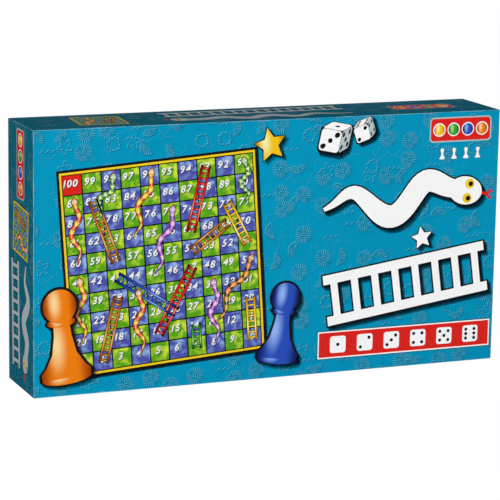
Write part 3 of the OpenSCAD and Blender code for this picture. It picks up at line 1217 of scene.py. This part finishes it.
def die_face(value, side, face_ink="white"):
    """One face of a die, seen flat."""
    picture = [(plate(side, side, corner=side * DIE_CORNER_SHARE), face_ink, 0)]
    pitch, radius = side * PIP_SHARES["pitch"], side * PIP_SHARES["radius"]
    for x, y in PIP_PLACES[value]:
        pip = disc(radius, (x * pitch, y * pitch), sides=SMALL_DISC_SIDES)
        picture.append((pip, "black", 1))
    return picture


def die_picture(side, values):
    """A die seen on a corner: a front, a right and an upper face."""
    faces = [
        ((1, 0), (0, 1), (-0.5, -0.5)),
        (DIE_LEAN_SHARES, (0, 1), (0.5, -0.5)),
        ((1, 0), DIE_LEAN_SHARES, (-0.5, 0.5)),
    ]
    picture = []
    for value, shade, (across, along, corner) in zip(values, DIE_SHADES, faces):
        centre = [(corner[i] + (across[i] + along[i]) / 2) * side * MM for i in range(2)]
        lean = Matrix.Translation((*centre, 0))
        lean[0][0], lean[1][0] = across
        lean[0][1], lean[1][1] = along
        outline = die_face(value, side * DIE_OUTLINE_SHARE, "black")
        face = outline + lifted(die_face(value, side * DIE_FACE_SHARE, shade), 1)
        for shape, _, _ in face:
            shape.data.transform(lean)
        picture += face
    return picture


print("pips on a die:", sum(len(places) for places in PIP_PLACES.values()))

# %% Counters and stars
PAWN_OUTLINE_SHARES = [
    (0.28, 0), (0.28, 0.08), (0.22, 0.14), (0.14, 0.28), (0.10, 0.48), (0.09, 0.62)]
PAWN_DISC_SHARES = {
    "foot": {"radius": 0.28, "height": 0, "flat": 0.26, "step": 1},
    "collar": {"radius": 0.16, "height": 0.63, "flat": 0.34, "step": 3},
    "ball": {"radius": 0.19, "height": 0.81, "flat": 1, "step": 4},
}
PAWN_LINE_SHARE = 0.03
STAR_POINTS = 5
STAR_NOTCH_SHARE = 0.48
STAR_LINE = 1.0


def pawn_picture(height, ink):
    """A counter seen from the side, standing on the point 0, 0."""
    picture = []
    for grow, tone, step in ((height * PAWN_LINE_SHARE, "black", 0), (0, ink, 1)):
        half = [(x * height + grow, y * height) for x, y in PAWN_OUTLINE_SHARES]
        picture.append((patch(half + [(-x, y) for x, y in reversed(half)]), tone, 2 * step))
        for part in PAWN_DISC_SHARES.values():
            circle = disc(height * part["radius"] + grow, (0, height * part["height"]), (1, part["flat"]))
            picture.append((circle, tone, part["step"] * step))
    return picture


def star_picture(radius, ink):
    picture = []
    for grow, tone, layer in ((STAR_LINE, "black", 0), (0, ink, 1)):
        outline = []
        for i in range(2 * STAR_POINTS):
            spoke = (radius if i % 2 == 0 else radius * STAR_NOTCH_SHARE) + grow
            bearing = math.pi * (i / STAR_POINTS + 0.5)
            outline.append((spoke * math.cos(bearing), spoke * math.sin(bearing)))
        picture.append((patch(outline), tone, layer))
    return picture


print("discs on a counter:", len(PAWN_DISC_SHARES))

# %% [markdown]
# ## Numbers
#
# The board's numbers are text turned into meshes. A hundred text objects
# would be slow, so each figure is made once, slanted and a little bold, and
# copied to its places. A number is centred by the widths of its figures.

# %% Figures
FIGURE_H = 12.5
FIGURE_SHARE = 0.73
FIGURE_STYLE = {"shear": 0.25, "offset": 0.45 * MM, "resolution_u": 3}
FIGURE_GAP = 1.1


def figure_shape(figure):
    bpy.ops.object.text_add()
    letter = bpy.context.object.data
    letter.body = figure
    letter.size = FIGURE_H * MM / FIGURE_SHARE
    for key, value in FIGURE_STYLE.items():
        setattr(letter, key, value)
    bpy.ops.object.convert(target="MESH")
    return put_by()


def side_edges(shape):
    """The left and right ends of a shape."""
    xs = [v.co.x for v in shape.data.vertices]
    return min(xs), max(xs)


figures = {figure: figure_shape(figure) for figure in "0123456789"}
figure_edges = {figure: side_edges(shape) for figure, shape in figures.items()}


def number(value, at, tone, layer):
    """The figures of a number, centred on a point."""
    edges = [figure_edges[figure] for figure in str(value)]
    whole = sum(high - low + FIGURE_GAP * MM for low, high in edges) - FIGURE_GAP * MM
    left = at[0] * MM - whole / 2
    picture = []
    for figure, (low, high) in zip(str(value), edges):
        twin = figures[figure].copy()
        twin.data = figures[figure].data.copy()
        twin.data.transform(Matrix.Translation((left - low, (at[1] - FIGURE_H / 2) * MM, 0)))
        picture.append((twin, tone, layer))
        left += high - low + FIGURE_GAP * MM
    return picture


print("figures:", len(figures))

# %% [markdown]
# ## The playing board
#
# The board is the traditional one: ten rows of ten squares, numbered from the
# lower left, turning at the end of each row. One panel's material colours the
# squares, so only the numbers, the snakes and the ladders are shapes. Each
# number has a dark copy behind it for its shadow.

# %% Board artwork
BORDER = 9.0
FRAME_LINE = 0.75
GOAL_LINE = 1.6
NUMBER_SHARES = (-0.08, 0.1)
NUMBER_SHADOW = (1.0, -1.1)
LADDER_OVERLAP = 4
SNAKE_HEAD_ASIDE = 3
NUMBER_LAYER = 4
LADDER_LAYER = 6
SNAKE_LAYER = 7
LADDER_STYLE = {"width": 14, "bar": 3.2, "rung_gap": 9, "line": 1.0}
SNAKE_STYLE = {"width": 8.5, "swing": 9, "bends": 3, "line": 1.0}
LADDERS = [(2, 38, "wood"), (16, 47, "red_round"), (10, 30, "yellow_round"), (58, 82, "wood"),
           (67, 93, "red_round"), (51, 72, "yellow_round"), (26, 43, "blue_round"), (54, 69, "wood"),
           (7, 14, "green_round")]
SNAKES = [(81, 60, "skin_red"), (96, 64, "skin_yellow"), (75, 45, "skin_violet"),
          (50, 13, "skin_orange"), (41, 20, "skin_yellow"), (37, 4, "skin_red"),
          (91, 71, "skin_green"), (33, 8, "skin_violet"), (98, 79, "skin_green")]
panel_side = board_side - 2 * BORDER
square_side = panel_side / SQUARES


def square_at(value):
    """The middle of a numbered square."""
    row, step = divmod(value - 1, SQUARES)
    column = step if row % 2 == 0 else SQUARES - 1 - step
    middle_step = (SQUARES - 1) / 2
    return Vector(((column - middle_step) * square_side, (row - middle_step) * square_side))


def board_picture():
    """The board: a black edge, a yellow border, the squares with a red goal, and what is on them."""
    sides = [(board_side, "black"), (board_side - BORDER, "yellow"),
             (panel_side + 2 * FRAME_LINE, "black"), (panel_side, "squares")]
    goal = square_side - GOAL_LINE
    picture = panel([(side, side, 0, ink_name) for side, ink_name in sides])
    picture.append((plate(goal, goal, square_at(SQUARES ** 2)), "red", NUMBER_LAYER))
    for value in range(1, SQUARES ** 2 + 1):
        at = square_at(value) + Vector(NUMBER_SHARES) * square_side
        on_goal = value == SQUARES ** 2
        picture += number(value, at + Vector(NUMBER_SHADOW), "black", NUMBER_LAYER + on_goal)
        picture += number(value, at, "white", NUMBER_LAYER + 1 + on_goal)
    for foot, top, ink in LADDERS:
        overlap = Vector((0, LADDER_OVERLAP))
        rails = ladder(square_at(foot) - overlap, square_at(top) + overlap, ink=ink, **LADDER_STYLE)
        picture += lifted(rails, LADDER_LAYER)
    for head, tail, skin in SNAKES:
        aside = Vector((SNAKE_HEAD_ASIDE, 0))
        body = snake(square_at(head) + aside, square_at(tail), skin=skin, **SNAKE_STYLE)
        picture += lifted(body, SNAKE_LAYER)
    return picture


board_art = board_picture()
print("board shapes:", len(board_art))

# %% [markdown]
# ## The cover
#
# The cover shows the board at about two fifths of its size, with counters in
# front of it, and a large white snake and ladder beside it. A picture's soft
# shadow is three thin copies of its black outline, each a little further down
# and to the right. Places are shares of the cover, counted from its middle.

# %% Soft shadows
SHADOW_STEP = (0.9, -1.1)
SHADOW_COPIES = 3


def shaded(picture):
    """A picture with a soft shadow under it."""
    lowest = min(layer for _, _, layer in picture)
    outline = [entry for entry in picture if entry[1] == "black" and entry[2] == lowest]
    shadow = []
    for copy in range(SHADOW_COPIES):
        step = [(copy + 1) * way for way in SHADOW_STEP]
        shadow += [(shape, "shadow", layer + copy) for shape, _, layer in stamped(outline, step)]
    return shadow + lifted(picture, SHADOW_COPIES)


print(f"a shadow reaches {-SHADOW_COPIES * SHADOW_STEP[1]:.1f} mm down")

# %% Plaque and banner
COUNTER_INKS = ("red_round", "yellow_round", "green_round", "blue_round")
PLAQUE_INKS = ("yellow_round", "green_round", "blue_round", "orange_round")
PLAQUE_PLATES = [(52, 19, 3.2, "silver"), (50, 17, 2.6, "red")]
PLAQUE_DISC = 5.2
PLAQUE_DOT = 4.4
PLAQUE_PITCH = 12
BANNER_W = 143
BANNER_H = 19
BANNER_EDGES = [(3, "black"), (2, "white"), (0, "red")]
BANNER_DIE = 13
BANNER_PITCH_SHARE = 0.15625


def in_row(pictures, pitch, y=0):
    """Pictures side by side, centred."""
    row = []
    for i, picture in enumerate(pictures):
        row += moved(picture, ((i - (len(pictures) - 1) / 2) * pitch, y))
    return row


def plaque():
    """A red plaque with four counters on it."""
    counters = [[(disc(PLAQUE_DISC), "white", 2), (disc(PLAQUE_DOT), ink_name, 3)]
                for ink_name in PLAQUE_INKS]
    return panel(PLAQUE_PLATES) + in_row(counters, PLAQUE_PITCH)


def dice_row(side, pitch, y=0):
    """The six faces of a die, side by side."""
    return in_row([die_face(value, side) for value in PIP_PLACES], pitch, y)


def banner():
    """A red band with the six faces of a die."""
    plates = [(BANNER_W + edge, BANNER_H + edge, 0, ink_name) for edge, ink_name in BANNER_EDGES]
    return panel(plates) + lifted(dice_row(BANNER_DIE, BANNER_W * BANNER_PITCH_SHARE), len(plates))


print("dots on the plaque:", len(PLAQUE_INKS))

# %% Cover artwork
BOARD_ON_COVER = 154.0
BOARD_TURN = 4
FRONT_LAYERS = 18
COVER_SHARES = {
    "board": (-0.2324, -0.0205), "snake head": (0.4054, 0.1949), "snake tail": (0.1081, 0.1436),
    "ladder foot": (0.1162, -0.2154), "ladder top": (0.4784, -0.1179), "small counters": (0.4108, 0.3179),
    "white star": (0.3297, 0.0103), "banner": (0.2973, -0.3897), "plaque": (0.4108, 0.4308),
    "orange counter": (-0.4324, -0.4308), "blue counter": (0.0108, -0.4256),
    "yellow star": (-0.0108, 0.4051), "large die": (0.1189, 0.4103), "small die": (0.1892, 0.4308),
}
COVER_SNAKE = {"width": 17.5, "swing": -14, "bends": 3, "skin": "white", "eye": "yellow"}
COVER_LADDER = {"width": 32, "bar": 7.2, "ink": "white", "rung_gap": 16.5}
COVER_DETAILS = [
    ("white star", star_picture, (9, "white"), 10, 0),
    ("orange counter", pawn_picture, (66, "orange_round"), 6, FRONT_LAYERS),
    ("blue counter", pawn_picture, (58, "blue_round"), -8, FRONT_LAYERS),
    ("yellow star", star_picture, (13, "yellow_round"), 12, FRONT_LAYERS),
    ("large die", die_picture, (17, (3, 5, 1)), -12, 0),
    ("small die", die_picture, (12, (2, 4, 6)), 18, 0),
]
SMALL_COUNTER = 8
SMALL_COUNTER_PITCH = 10


def on_cover(name, shares=COVER_SHARES):
    """A place on the cover, in millimetres from its middle."""
    across, along = shares[name]
    return Vector((across * cover_w, along * cover_h))


def large_board():
    """The board on the cover, with its soft shadow."""
    place = {"at": on_cover("board"), "scale": BOARD_ON_COVER / board_side, "turn": BOARD_TURN}
    backing = shaded([(plate(board_side, board_side), "black", 0)])
    return moved(backing, **place) + lifted(stamped(board_art, **place), SHADOW_COPIES + 1)


def cover_picture():
    """All that is on the cover. A detail is a picture, its choices, its turn and the layers under it."""
    small_counters = [pawn_picture(SMALL_COUNTER, "white") for _ in COUNTER_INKS]
    picture = large_board()
    picture += shaded(snake(on_cover("snake head"), on_cover("snake tail"), **COVER_SNAKE))
    picture += shaded(ladder(on_cover("ladder foot"), on_cover("ladder top"), **COVER_LADDER))
    for name, draw, choices, turn, layers in COVER_DETAILS:
        picture += lifted(moved(shaded(draw(*choices)), on_cover(name), turn=turn), layers)
    unshaded = {"banner": banner(), "plaque": plaque(),
                "small counters": in_row(small_counters, SMALL_COUNTER_PITCH)}
    for name, detail in unshaded.items():
        picture += lifted(moved(detail, on_cover(name)), SHADOW_COPIES)
    return picture


print_picture(cover_picture(), COVER, "cover", "lid")

# %% [markdown]
# ## The lid's four sides
#
# The sides repeat the cover's pictures at a smaller size, in a greyer ink, so
# that the game is known on a shelf whichever side shows. One function makes
# the strip for any length of side.

# %% Side strips
SMALL_BOARD_SHARES = [(1, "black"), (0.97, "yellow"), (0.91, "squares")]
SMALL_PLACE_SHARES = {
    "foot": (-0.3, -0.35), "top": (-0.12, 0.3), "head": (0.28, 0.33), "tail": (0.1, -0.35)}
SMALL_SIZE_SHARES = {"ladder": 0.13, "bar": 0.035, "snake": 0.09, "swing": 0.08}
SMALL_LADDER = {"ink": "wood", "rung_gap": 5, "line": 0.35}
SMALL_SNAKE = {"skin": "skin_red", "bends": 3, "line": 0.35}
SHORT_SIDE_SHARES = {"plaque": -0.35, "board": -0.10, "start": 0.02, "end": 0.43}
LONG_SIDE_SHARES = {"plaque": -0.36, "board": 0.34, "start": -0.19, "end": 0.20}
STRIP_RISE_SHARES = {"head": 0.1935, "tail": 0.2097, "foot": -0.2258, "top": -0.1935}
STRIP_SNAKE = {"width": 10, "swing": -6, "skin": "silver", "line": 0.8, "eye": "yellow"}
STRIP_LADDER = {"width": 15, "bar": 3.6, "ink": "silver", "rung_gap": 9, "line": 0.8}
STRIP_BOARD = 38
STRIP_BOARD_TURN = -5
STRIP_PLAQUE_SCALE = 0.98
HEAD_ROOM = 12
FEWEST_BENDS = 2
BEND_LENGTH = 80


def small_board(side):
    """A small picture of the board, with no numbers on its squares."""
    place = {name: Vector(share) * side for name, share in SMALL_PLACE_SHARES.items()}
    size = {name: share * side for name, share in SMALL_SIZE_SHARES.items()}
    over = ladder(place["foot"], place["top"], size["ladder"], size["bar"], **SMALL_LADDER)
    over += snake(place["head"], place["tail"], size["snake"], size["swing"], **SMALL_SNAKE)
    plates = [(side * share, side * share, 0, ink_name) for share, ink_name in SMALL_BOARD_SHARES]
    return panel(plates) + lifted(over, len(plates))


def side_strip(length, shares):
    """The pictures on a side of this length, which reads from left to right."""
    start, stop = shares["start"] * length, shares["end"] * length
    rise = {name: share * box_depth for name, share in STRIP_RISE_SHARES.items()}
    bends = FEWEST_BENDS + round(length / BEND_LENGTH)
    picture = moved(plaque(), (shares["plaque"] * length, 0), STRIP_PLAQUE_SCALE)
    picture += moved(small_board(STRIP_BOARD), (shares["board"] * length, 0), turn=STRIP_BOARD_TURN)
    picture += snake((stop - HEAD_ROOM, rise["head"]), (start, rise["tail"]), bends=bends, **STRIP_SNAKE)
    return picture + ladder((start, rise["foot"]), (stop, rise["top"]), **STRIP_LADDER)


SIDES = {
    "left": (LEFT, cover_h, SHORT_SIDE_SHARES), "right": (RIGHT, cover_h, SHORT_SIDE_SHARES),
    "top": (TOP, cover_w, LONG_SIDE_SHARES), "bottom": (BOTTOM, cover_w, LONG_SIDE_SHARES),
}
for name, (face, length, shares) in SIDES.items():
    print_picture(side_strip(length, shares), face, name, "lid")


# %% [markdown]
# ## The back
#
# The base tray's paper shows at the back of the box. There a pale panel shows
# what is inside: the board, the counters and the die.

# %% Back artwork
BACK_PLATES = [(310, 150, 7, "black"), (307, 147, 6, "silver"), (303, 143, 5, "white")]
BACK_SHARES = {
    "board": (-0.2216, 0), "head": (0.3459, 0.2667), "tail": (0.0324, 0.2051), "foot": (0.0270, 0.0513),
    "top": (0.3568, 0.0923), "counters": (0.1419, -0.2821), "die": (0.3378, -0.2308),
}
BACK_SIZES = {"board": 118, "counter": 38, "pitch": 27, "die": 17}
BACK_SNAKE = {"width": 12, "swing": 9, "bends": 5, "skin": "skin_yellow"}
BACK_LADDER = {"width": 20, "bar": 4.5, "ink": "wood", "rung_gap": 12, "line": 1.0}
BACK_DIE_VALUES = (3, 5, 1)
BACK_DIE_TURN = -10


def back_picture():
    size = BACK_SIZES
    place = {name: on_cover(name, BACK_SHARES) for name in BACK_SHARES}
    counters = [shaded(pawn_picture(size["counter"], tone)) for tone in COUNTER_INKS]
    picture = moved(small_board(size["board"]), place["board"])
    picture += shaded(snake(place["head"], place["tail"], **BACK_SNAKE))
    picture += shaded(ladder(place["foot"], place["top"], **BACK_LADDER))
    picture += moved(in_row(counters, size["pitch"]), place["counters"])
    die = shaded(die_picture(size["die"], BACK_DIE_VALUES))
    picture += moved(die, place["die"], turn=BACK_DIE_TURN)
    return panel(BACK_PLATES) + lifted(picture, len(BACK_PLATES))


print_picture(back_picture(), BACK, "back", "base")

# %% [markdown]
# ## The board's two halves
#
# The same picture is printed on the real board. The lower half stays on the
# half that stands at the back of the box, and the upper half is turned over
# about the fold, with the front half.

# %% Print the board on its two halves
BOARD_INK_STEP = 0.010

LOWER_HALF = face_matrix((0, face_low.y, fold_z), (1, 0, 0), (0, -1, 0))
about_fold = Vector((0, fold_y, fold_z))
fold_over = (Matrix.Translation(about_fold) @ Matrix.Rotation(math.pi, 4, "X")
             @ Matrix.Translation(-about_fold))
print_picture(stamped(board_art), LOWER_HALF, "board_back", "board_back",
              BOARD_INK_STEP, half=-1)
print_picture(board_art, fold_over @ LOWER_HALF, "board_front", "board_front",
              BOARD_INK_STEP, half=1)
for shape in figures.values():
    bpy.data.objects.remove(shape)


# %% [markdown]
# ## The rules sheet
#
# The rules are told in pictures: a small board, the four counters, a ladder,
# a snake and the faces of a die. Grey bars stand for the lines of text.

# %% Rules artwork
RULES_SHARES = {
    "header": (0, 0.4189), "board": (-0.2659, 0.2500), "counters": (0.2042, 0.2027),
    "foot": (-0.3609, -0.0541), "top": (-0.0380, 0.0811), "head": (0.3609, 0.0811),
    "tail": (0.0570, -0.0541), "upper rule": (0, 0.1351), "lower rule": (0, -0.0946),
    "full line": (0, -0.1622), "short line": (-0.1045, -0.1622),
}
RULES_SIZES = {
    "header": (92, 15), "rule": (92, 0.6), "full line": (84, 1.1), "short line": (62, 1.1),
    "margin": 3.0, "frame": 0.8, "corner": 2, "board": 28, "die": 9, "die pitch": 14,
    "counter": 17, "counter pitch": 13, "line pitch": 7,
}
RULES_LADDER = {"width": 9, "bar": 2.2, "ink": "wood", "rung_gap": 6, "line": 0.5}
RULES_SNAKE = {"width": 5, "swing": 3, "bends": 3, "skin": "skin_yellow", "line": 0.5}
TEXT_LINES = ("full line", "full line", "short line") * 2

sheet_middle = (sheet_low + sheet_high) / 2
RULES = face_matrix((sheet_middle.x, sheet_low.y, sheet_middle.z), (1, 0, 0), (0, -1, 0))


def sheet_frame(margin, line):
    """A thin frame inside the sheet's edge."""
    inner_w, inner_h = sheet_w - 2 * margin, sheet_h - 2 * margin
    picture = []
    for side in (-0.5, 0.5):
        picture.append((plate(inner_w, line, (0, side * inner_h)), "teal", 1))
        picture.append((plate(line, inner_h, (side * inner_w, 0)), "teal", 0))
    return picture


def rules_picture():
    size = RULES_SIZES
    place = {name: Vector((x * sheet_w, y * sheet_h)) for name, (x, y) in RULES_SHARES.items()}
    counters = [pawn_picture(size["counter"], tone) for tone in COUNTER_INKS]
    picture = sheet_frame(size["margin"], size["frame"])
    picture.append((plate(*size["header"], place["header"], corner=size["corner"]), "teal", 0))
    picture += lifted(dice_row(size["die"], size["die pitch"], place["header"].y), 1)
    picture += [(plate(*size["rule"], place[name]), "grey", 0) for name in ("upper rule", "lower rule")]
    picture += moved(small_board(size["board"]), place["board"])
    picture += moved(in_row(counters, size["counter pitch"]), place["counters"])
    picture += ladder(place["foot"], place["top"], **RULES_LADDER)
    picture += snake(place["head"], place["tail"], **RULES_SNAKE)
    for row, name in enumerate(TEXT_LINES):
        at = place[name] - Vector((0, row * size["line pitch"]))
        picture.append((plate(*size[name], at), "grey", 0))
    return picture


print_picture(rules_picture(), RULES, "rules", "rules")

# %% [markdown]
# ## Board, card, cloth and plastic
#
# The rest of the box keeps its CAD shapes and gets finishes: greyboard with
# flecks, brown paper tape, white liner, a dull white card insert, woven cloth
# on the board's hinge, and glossy moulded plastic. A finish's look gives its
# colour, its height and the mask that its roughness follows.

# %% Kinds of surface
SURFACES = {
    "paper": {"rough": (0.77, 0.93), "rub": CLOUDS, "specular": 0.2, "relief": 0.08, "bump": 0.6},
    "cloth": {"rough": (0.85, 0.6), "rub": (-1, 1), "specular": 0.25, "relief": 0.12, "bump": 0.8},
    "plastic": {"rough": (0.24, 0.42), "rub": (0.45, 0.75), "specular": 0.5, "relief": 0.02, "bump": 0.4},
    "linen": {"rough": (0.45, 0.6), "rub": (-1, 1), "specular": 0.2, "relief": 0.03, "bump": 0.6},
}
COATS = {"plastic": 0.2}


def finish(name, kind, look, *choices):
    """A material with this kind of surface. The look makes its tone, its height and its rub."""
    surface = SURFACES[kind]
    made, tree, shader = material(name, surface["rough"][0], surface["specular"], COATS.get(kind, 0.0))
    tone, height, rub = look(tree, *choices)
    rough = between(tree, rub, *surface["rub"], *surface["rough"])
    tree.links.new(tone, shader.inputs["Base Color"])
    tree.links.new(rough, shader.inputs["Roughness"])
    bump(tree, shader, height, surface["relief"] * MM, surface["bump"])
    return made


def darkened(code, share):
    return [channel * share for channel in rgb(code)[:3]] + [1]


def threads(tree, along, thread):
    """A ripple that repeats with every thread."""
    return maths(tree, "SINE", product(tree, along, FULL_TURN / (thread * MM)))


print("kinds of surface:", ", ".join(SURFACES))

# %% Looks of board, cloth, plastic and linen
FLOW_STRETCH = (1, 0.25, 1)
FLOW = (0.3, 0.75)
FLOW_SHARE = 0.5
LINEN_THREAD = 0.8976
SOIL_SHARE = 0.12
CLOTH_THREAD = 0.6
CLOTH_FLUFF = 0.6
CLOTH_SHADE = 0.45
CLOTH_HEIGHTS = (-0.6, 1.1)


def fibrous(tree, code, fleck, fleck_share, scale, contrast):
    """Uncoated paper or board: fibres and flecks."""
    parts = placed(tree, fibres, {"Vector": object_vector(tree), "Scale": scale})
    clean = between(tree, parts["Tone"], *CLOUDS)
    tone = blend_colour(tree, clean, darkened(code, 1 - contrast), rgb(code))
    tone = blend_colour(tree, product(tree, parts["Fleck"], fleck_share), tone, rgb(fleck))
    return tone, parts["Height"], parts["Tone"]


def woven(tree, code):
    """Book cloth: threads that cross at right angles, with painted shade between them."""
    place = object_vector(tree)
    x, y, z = axes(tree, place)
    down = maths(tree, "ADD", z, y)
    cross = product(tree, threads(tree, x, CLOTH_THREAD), threads(tree, down, CLOTH_THREAD))
    fluff = product(tree, noise(tree, place, scale=1200, detail=3), CLOTH_FLUFF)
    height = maths(tree, "ADD", cross, fluff)
    # Painted shade: the cloth is darker where the weave lies low.
    lit_where_raised = between(tree, height, *CLOTH_HEIGHTS)
    return blend_colour(tree, lit_where_raised, darkened(code, CLOTH_SHADE), rgb(code)), height, cross


def moulded(tree, code, light):
    """Moulded plastic: slight flow marks and rubbed high spots."""
    place = object_vector(tree)
    drawn_out = node(tree, "Mapping", {"Vector": place, "Scale": FLOW_STRETCH}).outputs[0]
    flow = between(tree, noise(tree, drawn_out, scale=260, detail=4), *FLOW, to_high=FLOW_SHARE)
    scuff = noise(tree, place, scale=900, detail=6, roughness=0.75)
    return blend_colour(tree, flow, rgb(code), rgb(light)), scuff, scuff


def embossed(tree, code):
    """Printed paper with a fine linen emboss, as on the face of a board."""
    place = object_vector(tree)
    x, _, z = axes(tree, place)
    linen = product(tree, threads(tree, x, LINEN_THREAD), threads(tree, z, LINEN_THREAD))
    soiled = between(tree, noise(tree, place, scale=160, detail=4), *CLOUDS, to_high=SOIL_SHARE)
    return blend_colour(tree, soiled, rgb(code), rgb("#3b3b3b")), linen, linen


print("threads:", CLOTH_THREAD, "mm in the cloth,", LINEN_THREAD, "mm in the linen emboss")

# %% Mix the finishes
FINISHES = {
    "greyboard": finish("greyboard", "paper", fibrous, "#9b968c", "#4c4638", 0.6, 900, 0.3),
    "corner_tape": finish("corner tape", "paper", fibrous, "#b48a55", "#7c5728", 0.4, 1300, 0.25),
    "liner_paper": finish("liner paper", "paper", fibrous, "#eceae2", "#b9b4a4", 0.3, 1500, 0.12),
    "insert_card": finish("insert card", "paper", fibrous, "#f3f2ee", "#cfcbc0", 0.25, 1600, 0.09),
    "rules_paper": finish("rules paper", "paper", fibrous, "#f5efda", "#cdc5ac", 0.2, 2200, 0.07),
    "board_print": finish("board paper", "linen", embossed, "#f0ece0"),
    "board_backing": finish("board backing", "linen", embossed, "#1d4f6b"),
    "hinge_cloth": finish("hinge cloth", "cloth", woven, "#1c2a44"),
    "plastic_red": finish("red plastic", "plastic", moulded, "#d0201a", "#ee5a44"),
    "plastic_yellow": finish("yellow plastic", "plastic", moulded, "#f2b90f", "#ffe067"),
    "plastic_green": finish("green plastic", "plastic", moulded, "#1f8f37", "#56bf5c"),
    "plastic_blue": finish("blue plastic", "plastic", moulded, "#1f46ad", "#4f7be0"),
    "plastic_white": finish("white plastic", "plastic", moulded, "#f0eee6", "#ffffff"),
    "pip_paint": finish("pip paint", "plastic", moulded, "#0c0c0e", "#26262a"),
}
print("finishes:", len(FINISHES))

# %% [markdown]
# ## Dressing the CAD pieces
#
# Each node takes its finish in its own material slot. The counters and the
# die are moulded with smooth curves, so each is stood for by a copy that is
# merged and shaded smooth. The printed pieces then come back into the scene.

# %% Dress the CAD pieces
PLASTIC_SMOOTH_UNDER = math.radians(32)
MOULDED = ("counter_red", "counter_yellow", "counter_green", "counter_blue", "die")
CAD_FINISHES = {
    "lid_chipboard": "greyboard", "base_chipboard": "greyboard",
    "board_core_back": "greyboard", "board_core_front": "greyboard",
    "lid_corner_stays": "corner_tape", "base_corner_stays": "corner_tape",
    "lid_liner": "liner_paper", "base_liner": "liner_paper",
    "card_insert": "insert_card", "rules_sheet": "rules_paper",
    "board_print_back": "board_print", "board_print_front": "board_print",
    "board_backing_back": "board_backing", "board_backing_front": "board_backing",
    "hinge_tape_back": "hinge_cloth", "hinge_tape_front": "hinge_cloth",
    "counter_red": "plastic_red", "counter_yellow": "plastic_yellow",
    "counter_green": "plastic_green", "counter_blue": "plastic_blue",
    "die": "plastic_white", "die_pips": "pip_paint",
}


def smooth_copy(node_name, name):
    """A copy of a CAD node that is shaded smooth."""
    piece = loose_copy(node_name, name)
    merge_all()
    bpy.ops.object.mode_set(mode="OBJECT")
    bpy.ops.object.shade_smooth_by_angle(angle=PLASTIC_SMOOTH_UNDER)
    return piece


for name, finish_name in CAD_FINISHES.items():
    for holder in NODES[name].material_slots:
        holder.material = FINISHES[finish_name]
for name in MOULDED:
    moulding = smooth_copy(name, name + "_moulding")
    dress(moulding, FINISHES[CAD_FINISHES[name]], name)
    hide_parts(name)
for piece in PRINTED:
    bpy.context.collection.objects.link(piece)
print("CAD pieces dressed:", len(CAD_FINISHES), "of", len(NODES), "and printed pieces:", len(PRINTED))
